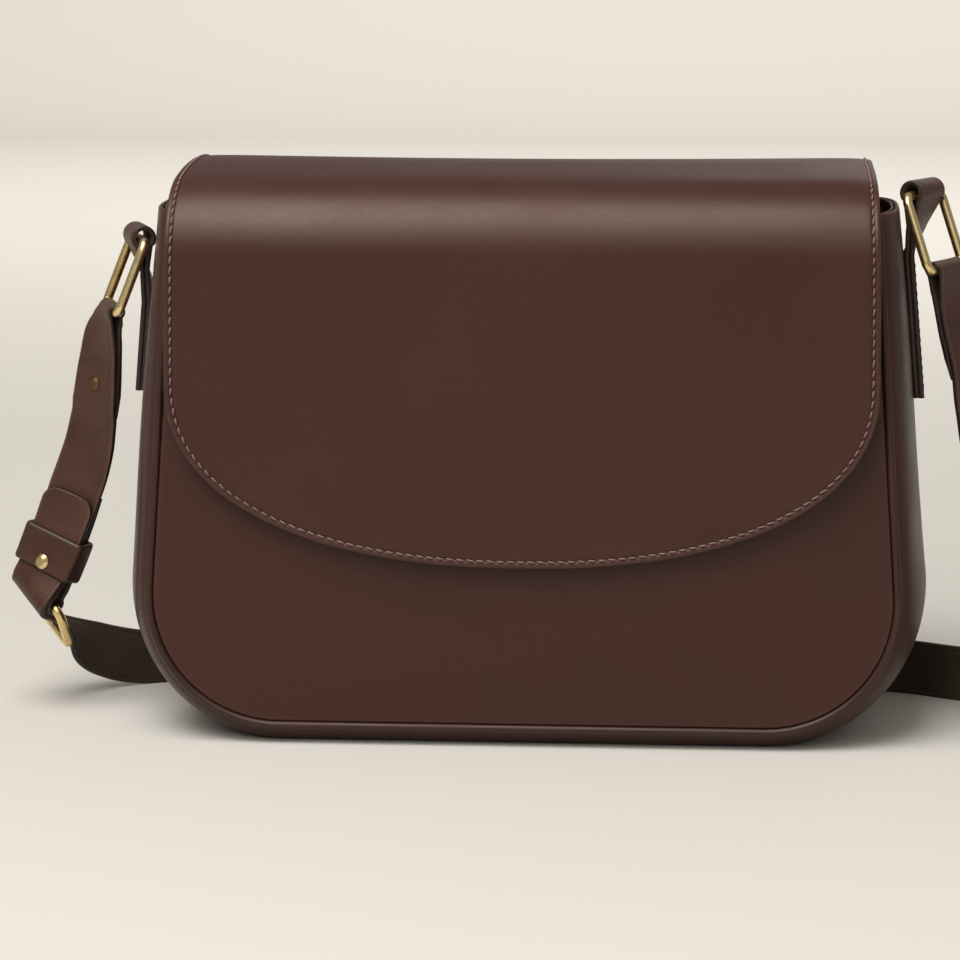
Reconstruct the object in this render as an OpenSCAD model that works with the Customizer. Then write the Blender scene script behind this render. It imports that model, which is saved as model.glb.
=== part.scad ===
// Crossbody bag with a rounded flap, two ring tabs and an adjustable strap.
// Millimetres. The front faces -Y, the floor is z = 0, the origin is the middle of the standing base.

/* [Body] */
// Width of the front panel at its side seams
panel_w = 232; // [160:1:320]
// Height of the mouth edge above the floor
panel_h = 165; // [110:1:240]
// Height of the lower front seam above the floor
seam_lift = 5.5; // [3:0.5:10]
// Radius of the lower corners of the panels
corner_r = 41; // [20:1:60]
// Angle by which the side seams lean in towards the mouth
side_lean = 3.8; // [0:0.2:10]
// Depth of the body at the floor
depth_low = 80; // [50:1:120]
// Depth of the body at the mouth
depth_top = 64; // [40:1:110]
// Bulge of the gusset beyond the side seam, near the floor
side_crown_low = 10.3; // [3:0.1:16]
// Bulge of the gusset beyond the side seam, at the mouth
side_crown_top = 7; // [2:0.1:14]
// Bulge of the front and back panels
panel_pillow = 2; // [0:0.1:3]
// Share of the gusset's width that lies flat under the bag
base_flat_share = 0.8; // [0.5:0.05:0.9]
// Share of the gusset's width that runs straight at its sides
side_flat_share = 0.1; // [0:0.05:0.4]

/* [Leather] */
// Thickness of the outer leather
leather_t = 1.6; // [1:0.1:2.5]
// Thickness of the linings
lining_t = 0.8; // [0.5:0.1:1.5]
// Gap left between sewn layers
seam_gap = 0.1; // [0.05:0.05:0.3]
// Gap left between large curved layers
sheet_gap = 0.3; // [0.2:0.05:0.5]
// Height of the leather facing inside the mouth
facing_h = 24; // [10:1:40]

/* [Inside] */
// Length of the base board
board_l = 138; // [80:1:200]
// Width of the base board
board_w = 58; // [30:1:90]
// Thickness of the base board
board_t = 1.5; // [1:0.1:3]
// Corner radius of the base board
board_r = 8; // [3:1:20]
// Width of the slip pocket
pocket_w = 120; // [60:1:160]
// Height of the pocket's bottom above the floor
pocket_low = 58; // [40:1:100]
// Height of the pocket's mouth above the floor
pocket_top = 128; // [90:1:138]
// Swell of the pocket at its mouth
pocket_swell = 7; // [5:0.5:12]

/* [Flap] */
// Half width of the flap over the front
flap_half = 109; // [80:0.5:140]
// Half width of the flap at its crown
flap_crown_half = 105.5; // [75:0.5:138]
// Height of the lowest point of the flap's hem
hem_low = 57; // [30:1:90]
// Height at which the hem turns into the straight side edges
hem_high = 114; // [80:1:130]
// Fullness of the hem's curve
hem_power = 2.3; // [2:0.1:4]
// Radius of the roll at the back
back_roll_r = 13; // [8:1:30]
// Radius of the shallow arch over the top
arch_r = 140; // [60:1:400]
// Radius of the roll at the front
front_roll_r = 25; // [12:1:40]
// Angle at which the arch starts
arch_start = 84; // [78:1:88]
// Distance of the front roll's middle behind the front mouth edge
roll_inset = 15.6; // [8:0.1:25]
// Height of the strip that joins the flap to the back panel
seam_strip_h = 22; // [12:1:40]

/* [Snap] */
// Height of the magnetic snap above the floor
snap_z = 78; // [60:1:100]
// Radius of both halves of the snap
snap_r = 7; // [5:0.5:10]
// Height of the socket above the panel
socket_proud = 0.9; // [0.5:0.1:2]
// Depth to which both halves are let into the leather
snap_sink = 0.3; // [0.1:0.1:0.6]
// Radius of the hole in the socket
socket_hole_r = 3; // [2:0.1:4]
// Height of the stud's plate above the flap lining
stud_proud = 0.4; // [0.3:0.1:1]
// Gap between the closed halves of the snap
snap_gap = 0.4; // [0.2:0.1:1]
// Radius of the stud's nub
nub_r = 2; // [1:0.1:3]
// Height of the stud's nub above its plate
nub_h = 1; // [0.5:0.1:2]
// Radius of the shanks
shank_r = 1.3; // [0.8:0.1:2]
// Radius of the washers
washer_r = 5; // [3.5:0.5:8]
// Thickness of the washers
washer_t = 0.5; // [0.3:0.1:1]
// Clearance round shanks and plates
shank_gap = 0.1; // [0.05:0.05:0.3]

/* [Ring tabs] */
// Width of the tabs
tab_w = 16; // [12:0.5:24]
// Thickness of one tab layer
tab_t = 1.6; // [1:0.1:2.5]
// Height of the tabs' lower ends above the floor
tab_low = 106; // [80:1:130]
// Distance of the tabs' middle in front of the bag's middle
tab_forward = 2; // [0:0.5:10]
// Radius of the hollow in the tab loops
loop_hollow_r = 2.4; // [1.6:0.1:4]
// Length over which a tab leaves the gusset and turns
neck_h = 16; // [8:1:30]
// Height of the left loop
left_loop_z = 154; // [130:0.5:170]
// Distance of the left loop from the bag's middle
left_loop_x = 122.8; // [100:0.1:160]
// Height of the right loop
right_loop_z = 169.5; // [130:0.5:175]
// Distance of the right loop from the bag's middle
right_loop_x = 122.2; // [100:0.1:160]
// Turn of the left ring about the vertical
left_yaw = 20; // [0:1:40]
// Turn of the right ring about the vertical
right_yaw = 28; // [0:1:40]
// Angle by which the left ring hangs outwards
left_tilt = 22; // [0:1:60]
// Angle by which the right ring hangs outwards
right_tilt = 20; // [0:1:60]

/* [Rings and buckle] */
// Radius of the ring wire
wire_r = 1.5; // [1:0.1:3]
// Width of the rings between wire centres
ring_w = 24.5; // [18:0.5:40]
// Height of the rings between wire centres
ring_h = 24; // [16:0.5:40]
// Corner radius of rings and buckle along the wire's centre
ring_corner_r = 3; // [2:0.5:6]
// Clearance between a bar and the leather round it
bar_gap = 0.1; // [0.05:0.05:0.3]
// Width of the buckle frame between wire centres
buckle_w = 25; // [20:0.5:40]
// Height of the buckle frame between wire centres
buckle_h = 19; // [14:0.5:30]

/* [Strap] */
// Thickness of the strap where it is pared to turn round a bar
fold_t = 1.2; // [0.8:0.1:2]
// Width of the strap
strap_w = 18; // [12:0.5:30]
// Thickness of the strap
strap_t = 1.8; // [1.2:0.1:3]
// Size of the cut corners of the strap's section
strap_bevel = 0.4; // [0.2:0.1:0.8]
// Gap at the places where the strap is divided
strap_cut = 0.8; // [0.6:0.1:2]
// Thickness of the keeper's leather
keeper_t = 1.3; // [0.8:0.1:2]
// Clearance inside the keeper
keeper_gap = 0.5; // [0.1:0.1:1]
// Gap between the buckle's wire and the tongue that passes it
tongue_gap = 0.6; // [0.2:0.1:1]
// Radius of the rivets in the strap ends
rivet_r = 1.4; // [1:0.1:2]
// Radius of the rivet heads
rivet_head_r = 2.3; // [1.5:0.1:4]
// Height of the rivet heads
rivet_head_h = 0.6; // [0.3:0.1:1.5]
// Stand-off of the rivet heads from the strap
rivet_seat = 0.25; // [0.1:0.05:0.5]
// Distance of a rivet below its ring bar
rivet_drop = 22; // [12:1:32]
// Radius of the adjuster stud's head
stud_head_r = 2.4; // [1.5:0.1:4]
// Height of the adjuster stud's head
stud_head_h = 1; // [0.5:0.1:2]

/* [Smoothness] */
// Steps along each half of the base
base_steps = 3; // [2:1:8]
// Steps round each lower corner
corner_steps = 9; // [5:1:16]
// Steps up each side
side_steps = 6; // [3:1:12]
// Steps across half a panel
panel_steps = 5; // [3:1:12]
// Steps across half the flap
flap_steps = 10; // [6:1:20]
// Steps along the flap
flap_rows = 22; // [12:1:40]
// Steps in each part of a strap's route
route_steps = 4; // [2:1:8]
// Facets of round pieces
round_steps = 40; // [24:4:96]

/* [View] */
// Piece to draw

/* [Hidden] */
$fn = round_steps;

leather = [0.3, 0.2, 0.17];
leather_dark = [0.2, 0.13, 0.11];
lining_colour = [0.42, 0.34, 0.28];
board_colour = [0.25, 0.2, 0.17];
brass = [0.78, 0.66, 0.38];
steel = [0.7, 0.7, 0.7];

// Vector helpers
function lerp(a, b, share) = a + (b - a) * share;
function unit(v) = v / norm(v);
function first3(v) = [v[0], v[1], v[2]];
function last3(v) = [v[3], v[4], v[5]];
function reversed(list) = [for (i = [len(list) - 1 : -1 : 0]) list[i]];

// Faces between each of the first `last` + 1 rings and the ring after it
function side_faces(m, n, last) = [for (i = [0 : last]) for (j = [0 : m - 1])
    let (next = (i + 1) % n, k = (j + 1) % m, a = i * m + j, b = i * m + k,
        c = next * m + k, d = next * m + j)
    each (j < m / 2 ? [[a, c, b], [a, d, c]] : [[a, d, b], [b, d, c]])];

// Closed solid through rings of equal, even point count; the end caps are strips
module skin(rings) {
    m = len(rings[0]);
    n = len(rings);
    e = (n - 1) * m;
    caps = [for (j = [0 : m / 2 - 2]) let (a = j, b = j + 1, c = m - 2 - j, d = m - 1 - j)
        each [[a, b, d], [b, c, d], [e + b, e + a, e + d], [e + b, e + d, e + c]]];
    polyhedron([for (ring = rings) each ring], concat(side_faces(m, n, n - 2), caps), convexity = 8);
}

// Solid through rings that come round to the first ring again
module closed_skin(rings) {
    m = len(rings[0]);
    n = len(rings);
    polyhedron([for (ring = rings) each ring], side_faces(m, n, n - 1), convexity = 8);
}

// Rectangle with round corners, centred
module rounded(size, r) {
    square([size[0], size[1] - 2 * r], center = true);
    square([size[0] - 2 * r, size[1]], center = true);
    for (x = [-1, 1]) for (y = [-1, 1])
        translate([x * (size[0] / 2 - r), y * (size[1] / 2 - r)]) circle(r = r);
}

// Outline of the panels, seen from the front: x, z, outward normal and how far round to the side
corner_x = panel_w / 2 - corner_r;
corner_z = seam_lift + corner_r;
side_start_x = corner_x + corner_r * cos(side_lean);
side_start_z = corner_z + corner_r * sin(side_lean);
side_len = (panel_h - side_start_z) / cos(side_lean);
right_half = concat(
    [for (i = [0 : base_steps - 1]) [corner_x * i / base_steps, seam_lift, 0, -1, 0]],
    [for (i = [0 : corner_steps]) let (a = lerp(-90, side_lean, i / corner_steps))
        [corner_x + corner_r * cos(a), corner_z + corner_r * sin(a), cos(a), sin(a), i / corner_steps]],
    [for (i = [1 : side_steps]) let (d = side_len * i / side_steps)
        [side_start_x - d * sin(side_lean), side_start_z + d * cos(side_lean),
            cos(side_lean), sin(side_lean), 1]]);
outline = concat(
    [for (i = [len(right_half) - 1 : -1 : 1]) let (s = right_half[i]) [-s[0], s[1], -s[2], s[3], s[4]]],
    right_half);

function half_depth(z) = lerp(depth_low, depth_top, z / panel_h) / 2;
function crown(s) = lerp(seam_lift, lerp(side_crown_low, side_crown_top, s[1] / panel_h), s[4]);
function rise(v, flat) = abs(v) <= flat ? 1 : sqrt(max(0, 1 - pow((abs(v) - flat) / (1 - flat), 2)));
function side_x(z) = side_start_x - (z - side_start_z) * tan(side_lean);
function crown_x(z) = side_x(z) + lerp(side_crown_low, side_crown_top, z / panel_h);

// Gusset layer: inset inwards from the crown, and edge away from the panels' outer faces
across_shares = [-1, -0.97, -0.9, -0.8, -0.6, -0.3, 0, 0.3, 0.6, 0.8, 0.9, 0.97, 1];
few_across_shares = [-1, -0.93, -0.8, -0.35, 0.35, 0.8, 0.93, 1];
side_share = 0.7;
function gusset_row(s, inset, edge, shares) = [for (v = shares)
    let (n = crown(s) * rise(v, lerp(base_flat_share, side_flat_share, s[4])) - inset)
    [s[0] + s[2] * n, v * (half_depth(s[1]) - edge), s[1] + s[3] * n]];
module gusset_layer(inset, edge, thick, shares) {
    skin([for (s = outline) concat(gusset_row(s, inset, edge, shares),
        reversed(gusset_row(s, inset + thick, edge + thick * side_share, shares)))]);
}

// Panel layer: facing is -1 for the front and 1 for the back
column_shares = [for (c = [-panel_steps : panel_steps]) c / panel_steps];
function bump(x, z) = let (cx = x / side_start_x, cz = 2 * (z - seam_lift) / (panel_h - seam_lift) - 1)
    panel_pillow * max(0, 1 - pow(cx, 4)) * max(0, 1 - pow(cz, 4));
function panel_y(x, z) = half_depth(z) + bump(x, z);
function panel_row(s, inset, facing, off) = [for (c = column_shares)
    let (x = c * (s[0] - s[2] * inset), z = s[1] - s[3] * inset) [x, facing * (panel_y(x, z) - off), z]];
panel_rows = [for (i = [base_steps : len(right_half) - 1]) right_half[i]];
module panel_layer(rows, facing, inset, off, thick) {
    rings = [for (s = rows) concat(panel_row(s, inset, facing, off),
        reversed(panel_row(s, inset, facing, off + thick)))];
    skin(facing < 0 ? rings : reversed(rings));
}
// Station on the straight side at a given height
function side_station(z) = [side_x(z), z, cos(side_lean), sin(side_lean), 1];
facing_low = panel_h - facing_h;
lower_rows = concat([for (s = panel_rows) if (s[1] < facing_low - seam_gap) s],
    [side_station(facing_low - seam_gap)]);
facing_rows = concat([side_station(facing_low)], [for (s = panel_rows) if (s[1] > facing_low) s]);

// Bead along a panel's edge, its section in shares of the leather's thickness
bead_shares = [[-1, -1], [0, -1], [0.4, -0.7], [0.5, -0.1],
    [0.15, 0.35], [-0.35, 0.5], [-0.85, 0.3], [-1, 0]];
module piping(facing) {
    rings = [for (s = outline) [for (b = bead_shares) let (n = b[0] * leather_t, d = b[1] * leather_t)
        [s[0] + s[2] * n, facing * (half_depth(s[1]) + d), s[1] + s[3] * n]]];
    skin(facing < 0 ? reversed(rings) : rings);
}
layer_gap = leather_t + seam_gap;

module front_panel() {
    color(leather) difference() {
        panel_layer(panel_rows, -1, layer_gap, 0, leather_t);
        on_front() snap_pocket();
    }
}
module back_panel() {
    color(leather) panel_layer(panel_rows, 1, layer_gap, 0, leather_t);
}
module gusset() {
    color(leather) gusset_layer(0, layer_gap, leather_t, across_shares);
}
module front_piping() {
    color(leather_dark) piping(-1);
}
module back_piping() {
    color(leather_dark) piping(1);
}
module front_facing() {
    color(leather) panel_layer(facing_rows, -1, layer_gap + seam_gap, layer_gap, lining_t);
}
module back_facing() {
    color(leather) panel_layer(facing_rows, 1, layer_gap + seam_gap, layer_gap, lining_t);
}
module front_lining() {
    color(lining_colour) panel_layer(lower_rows, -1, layer_gap + seam_gap, layer_gap, lining_t);
}
module back_lining() {
    color(lining_colour) panel_layer(lower_rows, 1, layer_gap + seam_gap, layer_gap, lining_t);
}
module gusset_lining() {
    edge = layer_gap + leather_t * side_share + sheet_gap;
    color(lining_colour) gusset_layer(leather_t + sheet_gap, edge, lining_t, few_across_shares);
}

// Slip pocket: sewn to the back lining at its sides and bottom, swelling towards its open mouth
inner_off = layer_gap + lining_t + seam_gap;
pocket_rows = 6;
module slip_pocket() {
    function pocket_row(z, off) = [for (c = column_shares) let (x = c * pocket_w / 2,
        share = (z - pocket_low) / (pocket_top - pocket_low), swell = pocket_swell * (1 - pow(c, 4)))
        [x, panel_y(x, z) - inner_off - swell * sin(90 * share) - off, z]];
    color(lining_colour) skin([for (i = [pocket_rows : -1 : 0])
        let (z = lerp(pocket_low, pocket_top, i / pocket_rows))
        concat(pocket_row(z, 0), reversed(pocket_row(z, lining_t)))]);
}

// Base board: stiff insert that lies on the lining
board_z = leather_t + sheet_gap + lining_t + seam_gap;
module base_board() {
    color(board_colour) translate([0, 0, board_z]) linear_extrude(board_t)
        rounded([board_l, board_w], board_r);
}

// Flap profile in the side view: from the hinge over the back roll, the arch and the front roll
flap_t = leather_t + sheet_gap + lining_t;
hinge_r = flap_t / 2;
hinge_y = depth_top / 2 + sheet_gap + hinge_r;
hinge_z = panel_h;
back_c = [hinge_y + hinge_r - back_roll_r, hinge_z];
arch_c = back_c + (back_roll_r - arch_r) * [cos(arch_start), sin(arch_start)];
arch_end = acos((roll_inset - depth_top / 2 - arch_c[0]) / (arch_r - front_roll_r));
front_c = arch_c + (arch_r - front_roll_r) * [cos(arch_end), sin(arch_end)];
// The straight drop leaves the front roll so that it passes the snap at its closed height
snap_p = [-(panel_y(0, snap_z) + socket_proud + snap_gap + stud_proud + flap_t), snap_z] - front_c;
drop_start = 90 + atan2(-snap_p[0], snap_p[1]) - acos(front_roll_r / norm(snap_p));
drop_p = front_c + front_roll_r * [cos(drop_start), sin(drop_start)];
drop_dir = [-sin(drop_start), cos(drop_start)];
arc_share = PI / 180;
back_len = back_roll_r * arch_start * arc_share;
arch_len = arch_r * (arch_end - arch_start) * arc_share;
roll_len = front_roll_r * (drop_start - arch_end) * arc_share;
// Outer point and outward normal at a length from the hinge
function flap_at(s) =
    s < back_len ? arc_at(back_c, back_roll_r, s / back_roll_r / arc_share)
    : s < back_len + arch_len ? arc_at(arch_c, arch_r, arch_start + (s - back_len) / arch_r / arc_share)
    : s < back_len + arch_len + roll_len
        ? arc_at(front_c, front_roll_r, arch_end + (s - back_len - arch_len) / front_roll_r / arc_share)
    : let (p = drop_p + (s - back_len - arch_len - roll_len) * drop_dir)
        [p[0], p[1], cos(drop_start), sin(drop_start)];
function arc_at(c, r, a) = [c[0] + r * cos(a), c[1] + r * sin(a), cos(a), sin(a)];
function drop_len(z) = back_len + arch_len + roll_len + (drop_p[1] - z) / -drop_dir[1];

// Flap half width along its length: narrow over the crown, full width down the front
crown_len = back_len + arch_len / 2;
full_len = drop_len(hem_high);
function flap_half_at(s) = let (share = min(1, max(0, (s - crown_len) / (full_len - crown_len))))
    lerp(flap_crown_half, flap_half, sin(90 * share));
flap_columns = [for (i = [-flap_steps : flap_steps]) sin(90 * i / flap_steps)];
function hem_z(t) = hem_high - (hem_high - hem_low)
    * pow(max(0, 1 - pow(abs(t), hem_power)), 1 / hem_power);
function flap_row(share, off) = [for (t = flap_columns)
    let (s = lerp(0, drop_len(hem_z(t)), share), p = flap_at(s))
    [t * flap_half_at(s), p[0] - p[2] * off, p[1] - p[3] * off]];
module flap_layer(off, thick, first_row) {
    skin([for (i = [flap_rows : -1 : first_row]) let (share = i / flap_rows)
        concat(flap_row(share, off), reversed(flap_row(share, off + thick)))]);
}

module flap_outer() {
    color(leather) difference() {
        union() {
            flap_layer(0, leather_t, 0);
            translate([-flap_crown_half, hinge_y, hinge_z]) rotate([0, 90, 0])
                cylinder(h = 2 * flap_crown_half, r = hinge_r);
        }
        on_flap() translate([0, 0, -lining_t - sheet_gap - washer_t])
            cylinder(h = washer_t + lining_t + sheet_gap, r = washer_r + shank_gap);
    }
}
module flap_lining() {
    color(lining_colour) difference() {
        flap_layer(leather_t + sheet_gap, lining_t, 1);
        on_flap() translate([0, 0, -snap_sink]) cylinder(h = snap_r, r = snap_r + shank_gap);
        on_flap() translate([0, 0, -snap_r]) cylinder(h = snap_r, r = shank_r + shank_gap);
    }
}
strip_rows = 4;
module flap_seam_strip() {
    strip_top = hinge_z - hinge_r - sheet_gap;
    function strip_row(z, off) = [for (c = column_shares)
        [c * flap_crown_half, panel_y(c * flap_crown_half, z) + sheet_gap + off, z]];
    color(leather) skin([for (i = [0 : strip_rows])
        let (z = lerp(strip_top, strip_top - seam_strip_h, i / strip_rows))
        concat(strip_row(z, leather_t), reversed(strip_row(z, 0)))]);
}

// Magnetic snap: local +Z points out of the front panel, or out of the flap's lining
snap_lean = atan((depth_low - depth_top) / 2 / panel_h);
snap_len = drop_len(snap_z);
module on_front() {
    translate([0, -panel_y(0, snap_z), snap_z]) rotate([90 - snap_lean, 0, 0]) children();
}
module on_flap() {
    p = flap_at(snap_len);
    translate([0, p[0] - p[2] * flap_t, p[1] - p[3] * flap_t]) rotate([drop_start - 270, 0, 0]) children();
}
module snap_pocket() {
    translate([0, 0, -snap_sink]) cylinder(h = snap_r, r = snap_r + shank_gap);
    translate([0, 0, -snap_r]) cylinder(h = snap_r, r = shank_r + shank_gap);
    translate([0, 0, -snap_r]) cylinder(h = snap_r - leather_t + washer_t, r = washer_r + shank_gap);
}
module snap_socket() {
    rim = snap_sink + socket_proud;
    color(brass) on_front() difference() {
        union() {
            translate([0, 0, -snap_sink]) rotate_extrude() polygon([[0, seam_gap], [snap_r, seam_gap],
                [snap_r, rim - strap_bevel], [snap_r - strap_bevel, rim], [0, rim]]);
            translate([0, 0, -leather_t]) cylinder(h = leather_t, r = shank_r);
        }
        cylinder(h = snap_r, r = socket_hole_r);
    }
}
module snap_socket_washer() {
    color(steel) on_front() translate([0, 0, -leather_t]) difference() {
        cylinder(h = washer_t - shank_gap, r = washer_r);
        cylinder(h = snap_r, r = shank_r + shank_gap, center = true);
    }
}
module snap_stud() {
    rim = snap_sink + stud_proud;
    color(brass) on_flap() {
        translate([0, 0, -snap_sink + seam_gap]) cylinder(h = rim - seam_gap, r = snap_r);
        cylinder(h = stud_proud + nub_h, r = nub_r);
        translate([0, 0, -lining_t - washer_t]) cylinder(h = lining_t + washer_t, r = shank_r);
    }
}
module snap_stud_washer() {
    color(steel) on_flap() translate([0, 0, -lining_t - seam_gap - washer_t]) difference() {
        cylinder(h = washer_t, r = washer_r);
        cylinder(h = snap_r, r = shank_r + shank_gap, center = true);
    }
}

// Ring places: side is -1 on the left; X is outwards, Y along the ring's bar
ring_values = [[-1, left_loop_x, left_loop_z, left_yaw, left_tilt],
    [1, right_loop_x, right_loop_z, right_yaw, right_tilt]];
left = ring_values[0];
right = ring_values[1];
function bar_dir(v) = [v[0] * sin(v[3]), cos(v[3]), 0];
function hang_dir(v) = [v[0] * sin(v[4]) * cos(v[3]), -sin(v[4]) * sin(v[3]), -cos(v[4])];
function loop_centre(v) = [v[0] * v[1], -tab_forward, v[2]];
function bar_high(v) = loop_centre(v) + (loop_hollow_r - wire_r - bar_gap) * hang_dir(v);
function bar_low(v) = bar_high(v) + ring_h * hang_dir(v);

// Moves children so that local X runs along a, Y along b and Z along c, from the point p
module in_frame(p, a, b, c) {
    multmatrix([[a[0], b[0], c[0], p[0]], [a[1], b[1], c[1], p[1]], [a[2], b[2], c[2], p[2]], [0, 0, 0, 1]])
        children();
}
// Round bar of a given length, centred on a point
module bar(p, dir, length, r) {
    side = unit(cross(dir, abs(dir[2]) > 0.9 ? [1, 0, 0] : [0, 0, 1]));
    in_frame(p - dir * length / 2, side, cross(dir, side), dir) cylinder(h = length, r = r);
}
// Rounded rectangular wire loop in the plane of wide and long, from the middle of its first bar
module wire_loop(p, wide, long, w, h) {
    in_frame(p, wide, long, cross(wide, long)) {
        for (x = [-1, 1]) {
            translate([x * w / 2, ring_corner_r, 0]) rotate([-90, 0, 0])
                cylinder(h = h - 2 * ring_corner_r, r = wire_r);
            for (y = [0, 1])
                translate([x * (w / 2 - ring_corner_r), y * (h - 2 * ring_corner_r) + ring_corner_r, 0])
                    mirror([x < 0 ? 1 : 0, 0, 0]) mirror([0, y > 0 ? 0 : 1, 0])
                    rotate_extrude(angle = 90) translate([ring_corner_r, 0]) circle(r = wire_r);
        }
        for (y = [0, h])
            translate([ring_corner_r - w / 2, y, 0]) rotate([0, 90, 0])
                cylinder(h = w - 2 * ring_corner_r, r = wire_r);
    }
}

// Routes: each row is a place and the direction across the strap; smooth between the rows
function spline_at(rows, i, f) =
    let (n = len(rows) - 1, a = rows[max(0, i - 1)], b = rows[i], c = rows[i + 1], d = rows[min(n, i + 2)])
    (2 * b + (c - a) * f + (2 * a - 5 * b + 4 * c - d) * f * f + (3 * b - a - 3 * c + d) * f * f * f) / 2;
function spline(rows) = concat(
    [for (i = [0 : len(rows) - 2]) for (k = [0 : route_steps - 1]) spline_at(rows, i, k / route_steps)],
    [rows[len(rows) - 1]]);
// Section frames along a route: place, across, face
function frames(list) = [for (i = [0 : len(list) - 1])
    let (t = unit(first3(list[min(len(list) - 1, i + 1)]) - first3(list[max(0, i - 1)])),
        w = last3(list[i]), across = unit(w - (w * t) * t))
    [first3(list[i]), across, cross(t, across)]];
bevel_signs = [[-1, -1, 0, 1], [-1, -1, 1, 0], [1, -1, -1, 0], [1, -1, 0, 1],
    [1, 1, 0, -1], [1, 1, -1, 0], [-1, 1, 1, 0], [-1, 1, 0, -1]];
// Flat band along frames; thicks gives its thickness at each frame
module band(list, width, thicks) {
    skin([for (i = [0 : len(list) - 1]) let (f = list[i], t = thicks[i])
        [for (b = bevel_signs) f[0] + f[1] * (b[0] * width / 2 + b[2] * strap_bevel)
            + f[2] * (b[1] * t / 2 + b[3] * strap_bevel)]]);
}

// Ring tab: two layers down the gusset, a turned neck and a loop round the ring's bar
loop_r = loop_hollow_r + tab_t;
tab_steps = 6;
module ring_tab(v) {
    c = loop_centre(v);
    off = seam_gap + tab_t;
    neck_z = v[2] - loop_r - neck_h;
    face = [v[0], 0, 0];
    flat_part = [for (i = [0 : tab_steps]) let (z = lerp(tab_low, neck_z, i / tab_steps))
        [v[0] * (crown_x(z) + off), -tab_forward, z, 0, 1, 0]];
    neck_end = c - [0, 0, loop_hollow_r + tab_t * side_share];
    neck = [for (i = [1 : tab_steps]) let (share = i / tab_steps, p = first3(flat_part[tab_steps]))
        concat(lerp(p, neck_end, share), lerp([0, 1, 0], bar_dir(v), share))];
    route = concat(flat_part, neck);
    thicks = [for (r = route) 2 * tab_t];
    difference() {
        union() {
            band(frames(route), tab_w, thicks);
            bar(c, bar_dir(v), tab_w, loop_r);
        }
        bar(c, bar_dir(v), tab_w + strap_w, loop_hollow_r);
    }
}
module left_tab() {
    color(leather) ring_tab(left);
}
module right_tab() {
    color(leather) ring_tab(right);
}
module left_ring() {
    color(brass) wire_loop(bar_high(left), bar_dir(left), hang_dir(left), ring_w, ring_h);
}
module right_ring() {
    color(brass) wire_loop(bar_high(right), bar_dir(right), hang_dir(right), ring_w, ring_h);
}

// Left route, from the ring's lower bar to the buckle's heel bar, in shares of the panel's width
left_shares = [
    [-0.5772, -0.0241, 0.5345, -0.64, 0.77, 0],
    [-0.5841, -0.0203, 0.4910, -0.76, 0.65, 0],
    [-0.5914, -0.0160, 0.4379, -0.84, 0.54, 0],
    [-0.5974, -0.0125, 0.4069, -0.88, 0.47, 0],
    [-0.6052, -0.0090, 0.3703, -0.93, 0.36, 0.05],
    [-0.6207, -0.0043, 0.3233, -0.95, 0.22, 0.22],
    [-0.6401, -0.0022, 0.2672, -0.87, 0.26, 0.40],
    [-0.6616, -0.0009, 0.2112, -0.75, 0.36, 0.54]];
heel_shares = [-0.6784, -0.0039, 0.1724];
buckle_dir_shares = [-0.01, 0.74, -0.67];
buckle_across_shares = [-0.62, 0.46, 0.63];
heel = heel_shares * panel_w;
buckle_long = unit(buckle_dir_shares);
buckle_wide = unit(buckle_across_shares - (buckle_across_shares * buckle_long) * buckle_long);
buckle_face = cross(buckle_wide, buckle_long);
function placed(rows) = [for (r = rows) concat(first3(r) * panel_w, last3(r))];
left_route = concat([concat(bar_low(left), bar_dir(left))], placed(left_shares),
    [concat(heel, buckle_wide)]);
left_line = frames(spline(left_route));
left_split_row = 4;
left_split = left_split_row * route_steps;

// Right route, from the ring's lower bar down, round on the floor, behind the bag and to the buckle
floor_share = strap_w / 2 / panel_w;
right_shares = [
    [0.5750, -0.0259, 0.5650, 0.64, 0.77, 0],
    [0.5900, -0.0250, 0.5080, 0.68, 0.73, 0],
    [0.6034, -0.0259, 0.4440, 0.72, 0.69, 0.05],
    [0.6120, -0.0300, 0.3966, 0.74, 0.66, 0.12],
    [0.6293, -0.0517, 0.3190, 0.72, 0.60, 0.30],
    [0.6550, -0.0950, 0.2250, 0.60, 0.45, 0.60],
    [0.6950, -0.1550, 0.1330, 0.38, 0.28, 0.88],
    [0.7600, -0.2150, 0.0680, 0.15, 0.10, 0.98],
    [0.8400, -0.2480, floor_share, 0, 0, 1],
    [0.9300, -0.2380, floor_share, 0, 0, 1],
    [0.9950, -0.1800, floor_share, 0, 0, 1],
    [1.0050, -0.0950, floor_share, 0, 0, 1],
    [0.9500, -0.0150, floor_share, 0, 0, 1],
    [0.8600, 0.0350, floor_share, 0, 0, 1],
    [0.7300, 0.0850, floor_share, 0, 0, 1],
    [0.6000, 0.1450, floor_share, 0, 0, 1],
    [0.5000, 0.1950, floor_share, 0, 0, 1],
    [0.3600, 0.2050, floor_share, 0, 0, 1],
    [0, 0.2110, floor_share, 0, 0, 1],
    [-0.3400, 0.2070, floor_share, 0, 0, 1],
    [-0.4900, 0.1950, floor_share, 0, 0, 1],
    [-0.5733, 0.1680, 0.0405, -0.08, 0.04, 1],
    [-0.6250, 0.1290, 0.0600, -0.28, 0.20, 0.94],
    [-0.6560, 0.0930, 0.0850, -0.46, 0.40, 0.80]];
under_bar = heel + buckle_h * buckle_long;
under_off = wire_r + tongue_gap + strap_t / 2;
over_off = wire_r + bar_gap + fold_t + tongue_gap + strap_t / 2;
right_route = concat([concat(bar_low(right), bar_dir(right))], placed(right_shares),
    [concat(under_bar - under_off * buckle_face, buckle_wide)]);
right_line = frames(spline(right_route));
right_split_row = 3;
right_split = right_split_row * route_steps;

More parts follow.
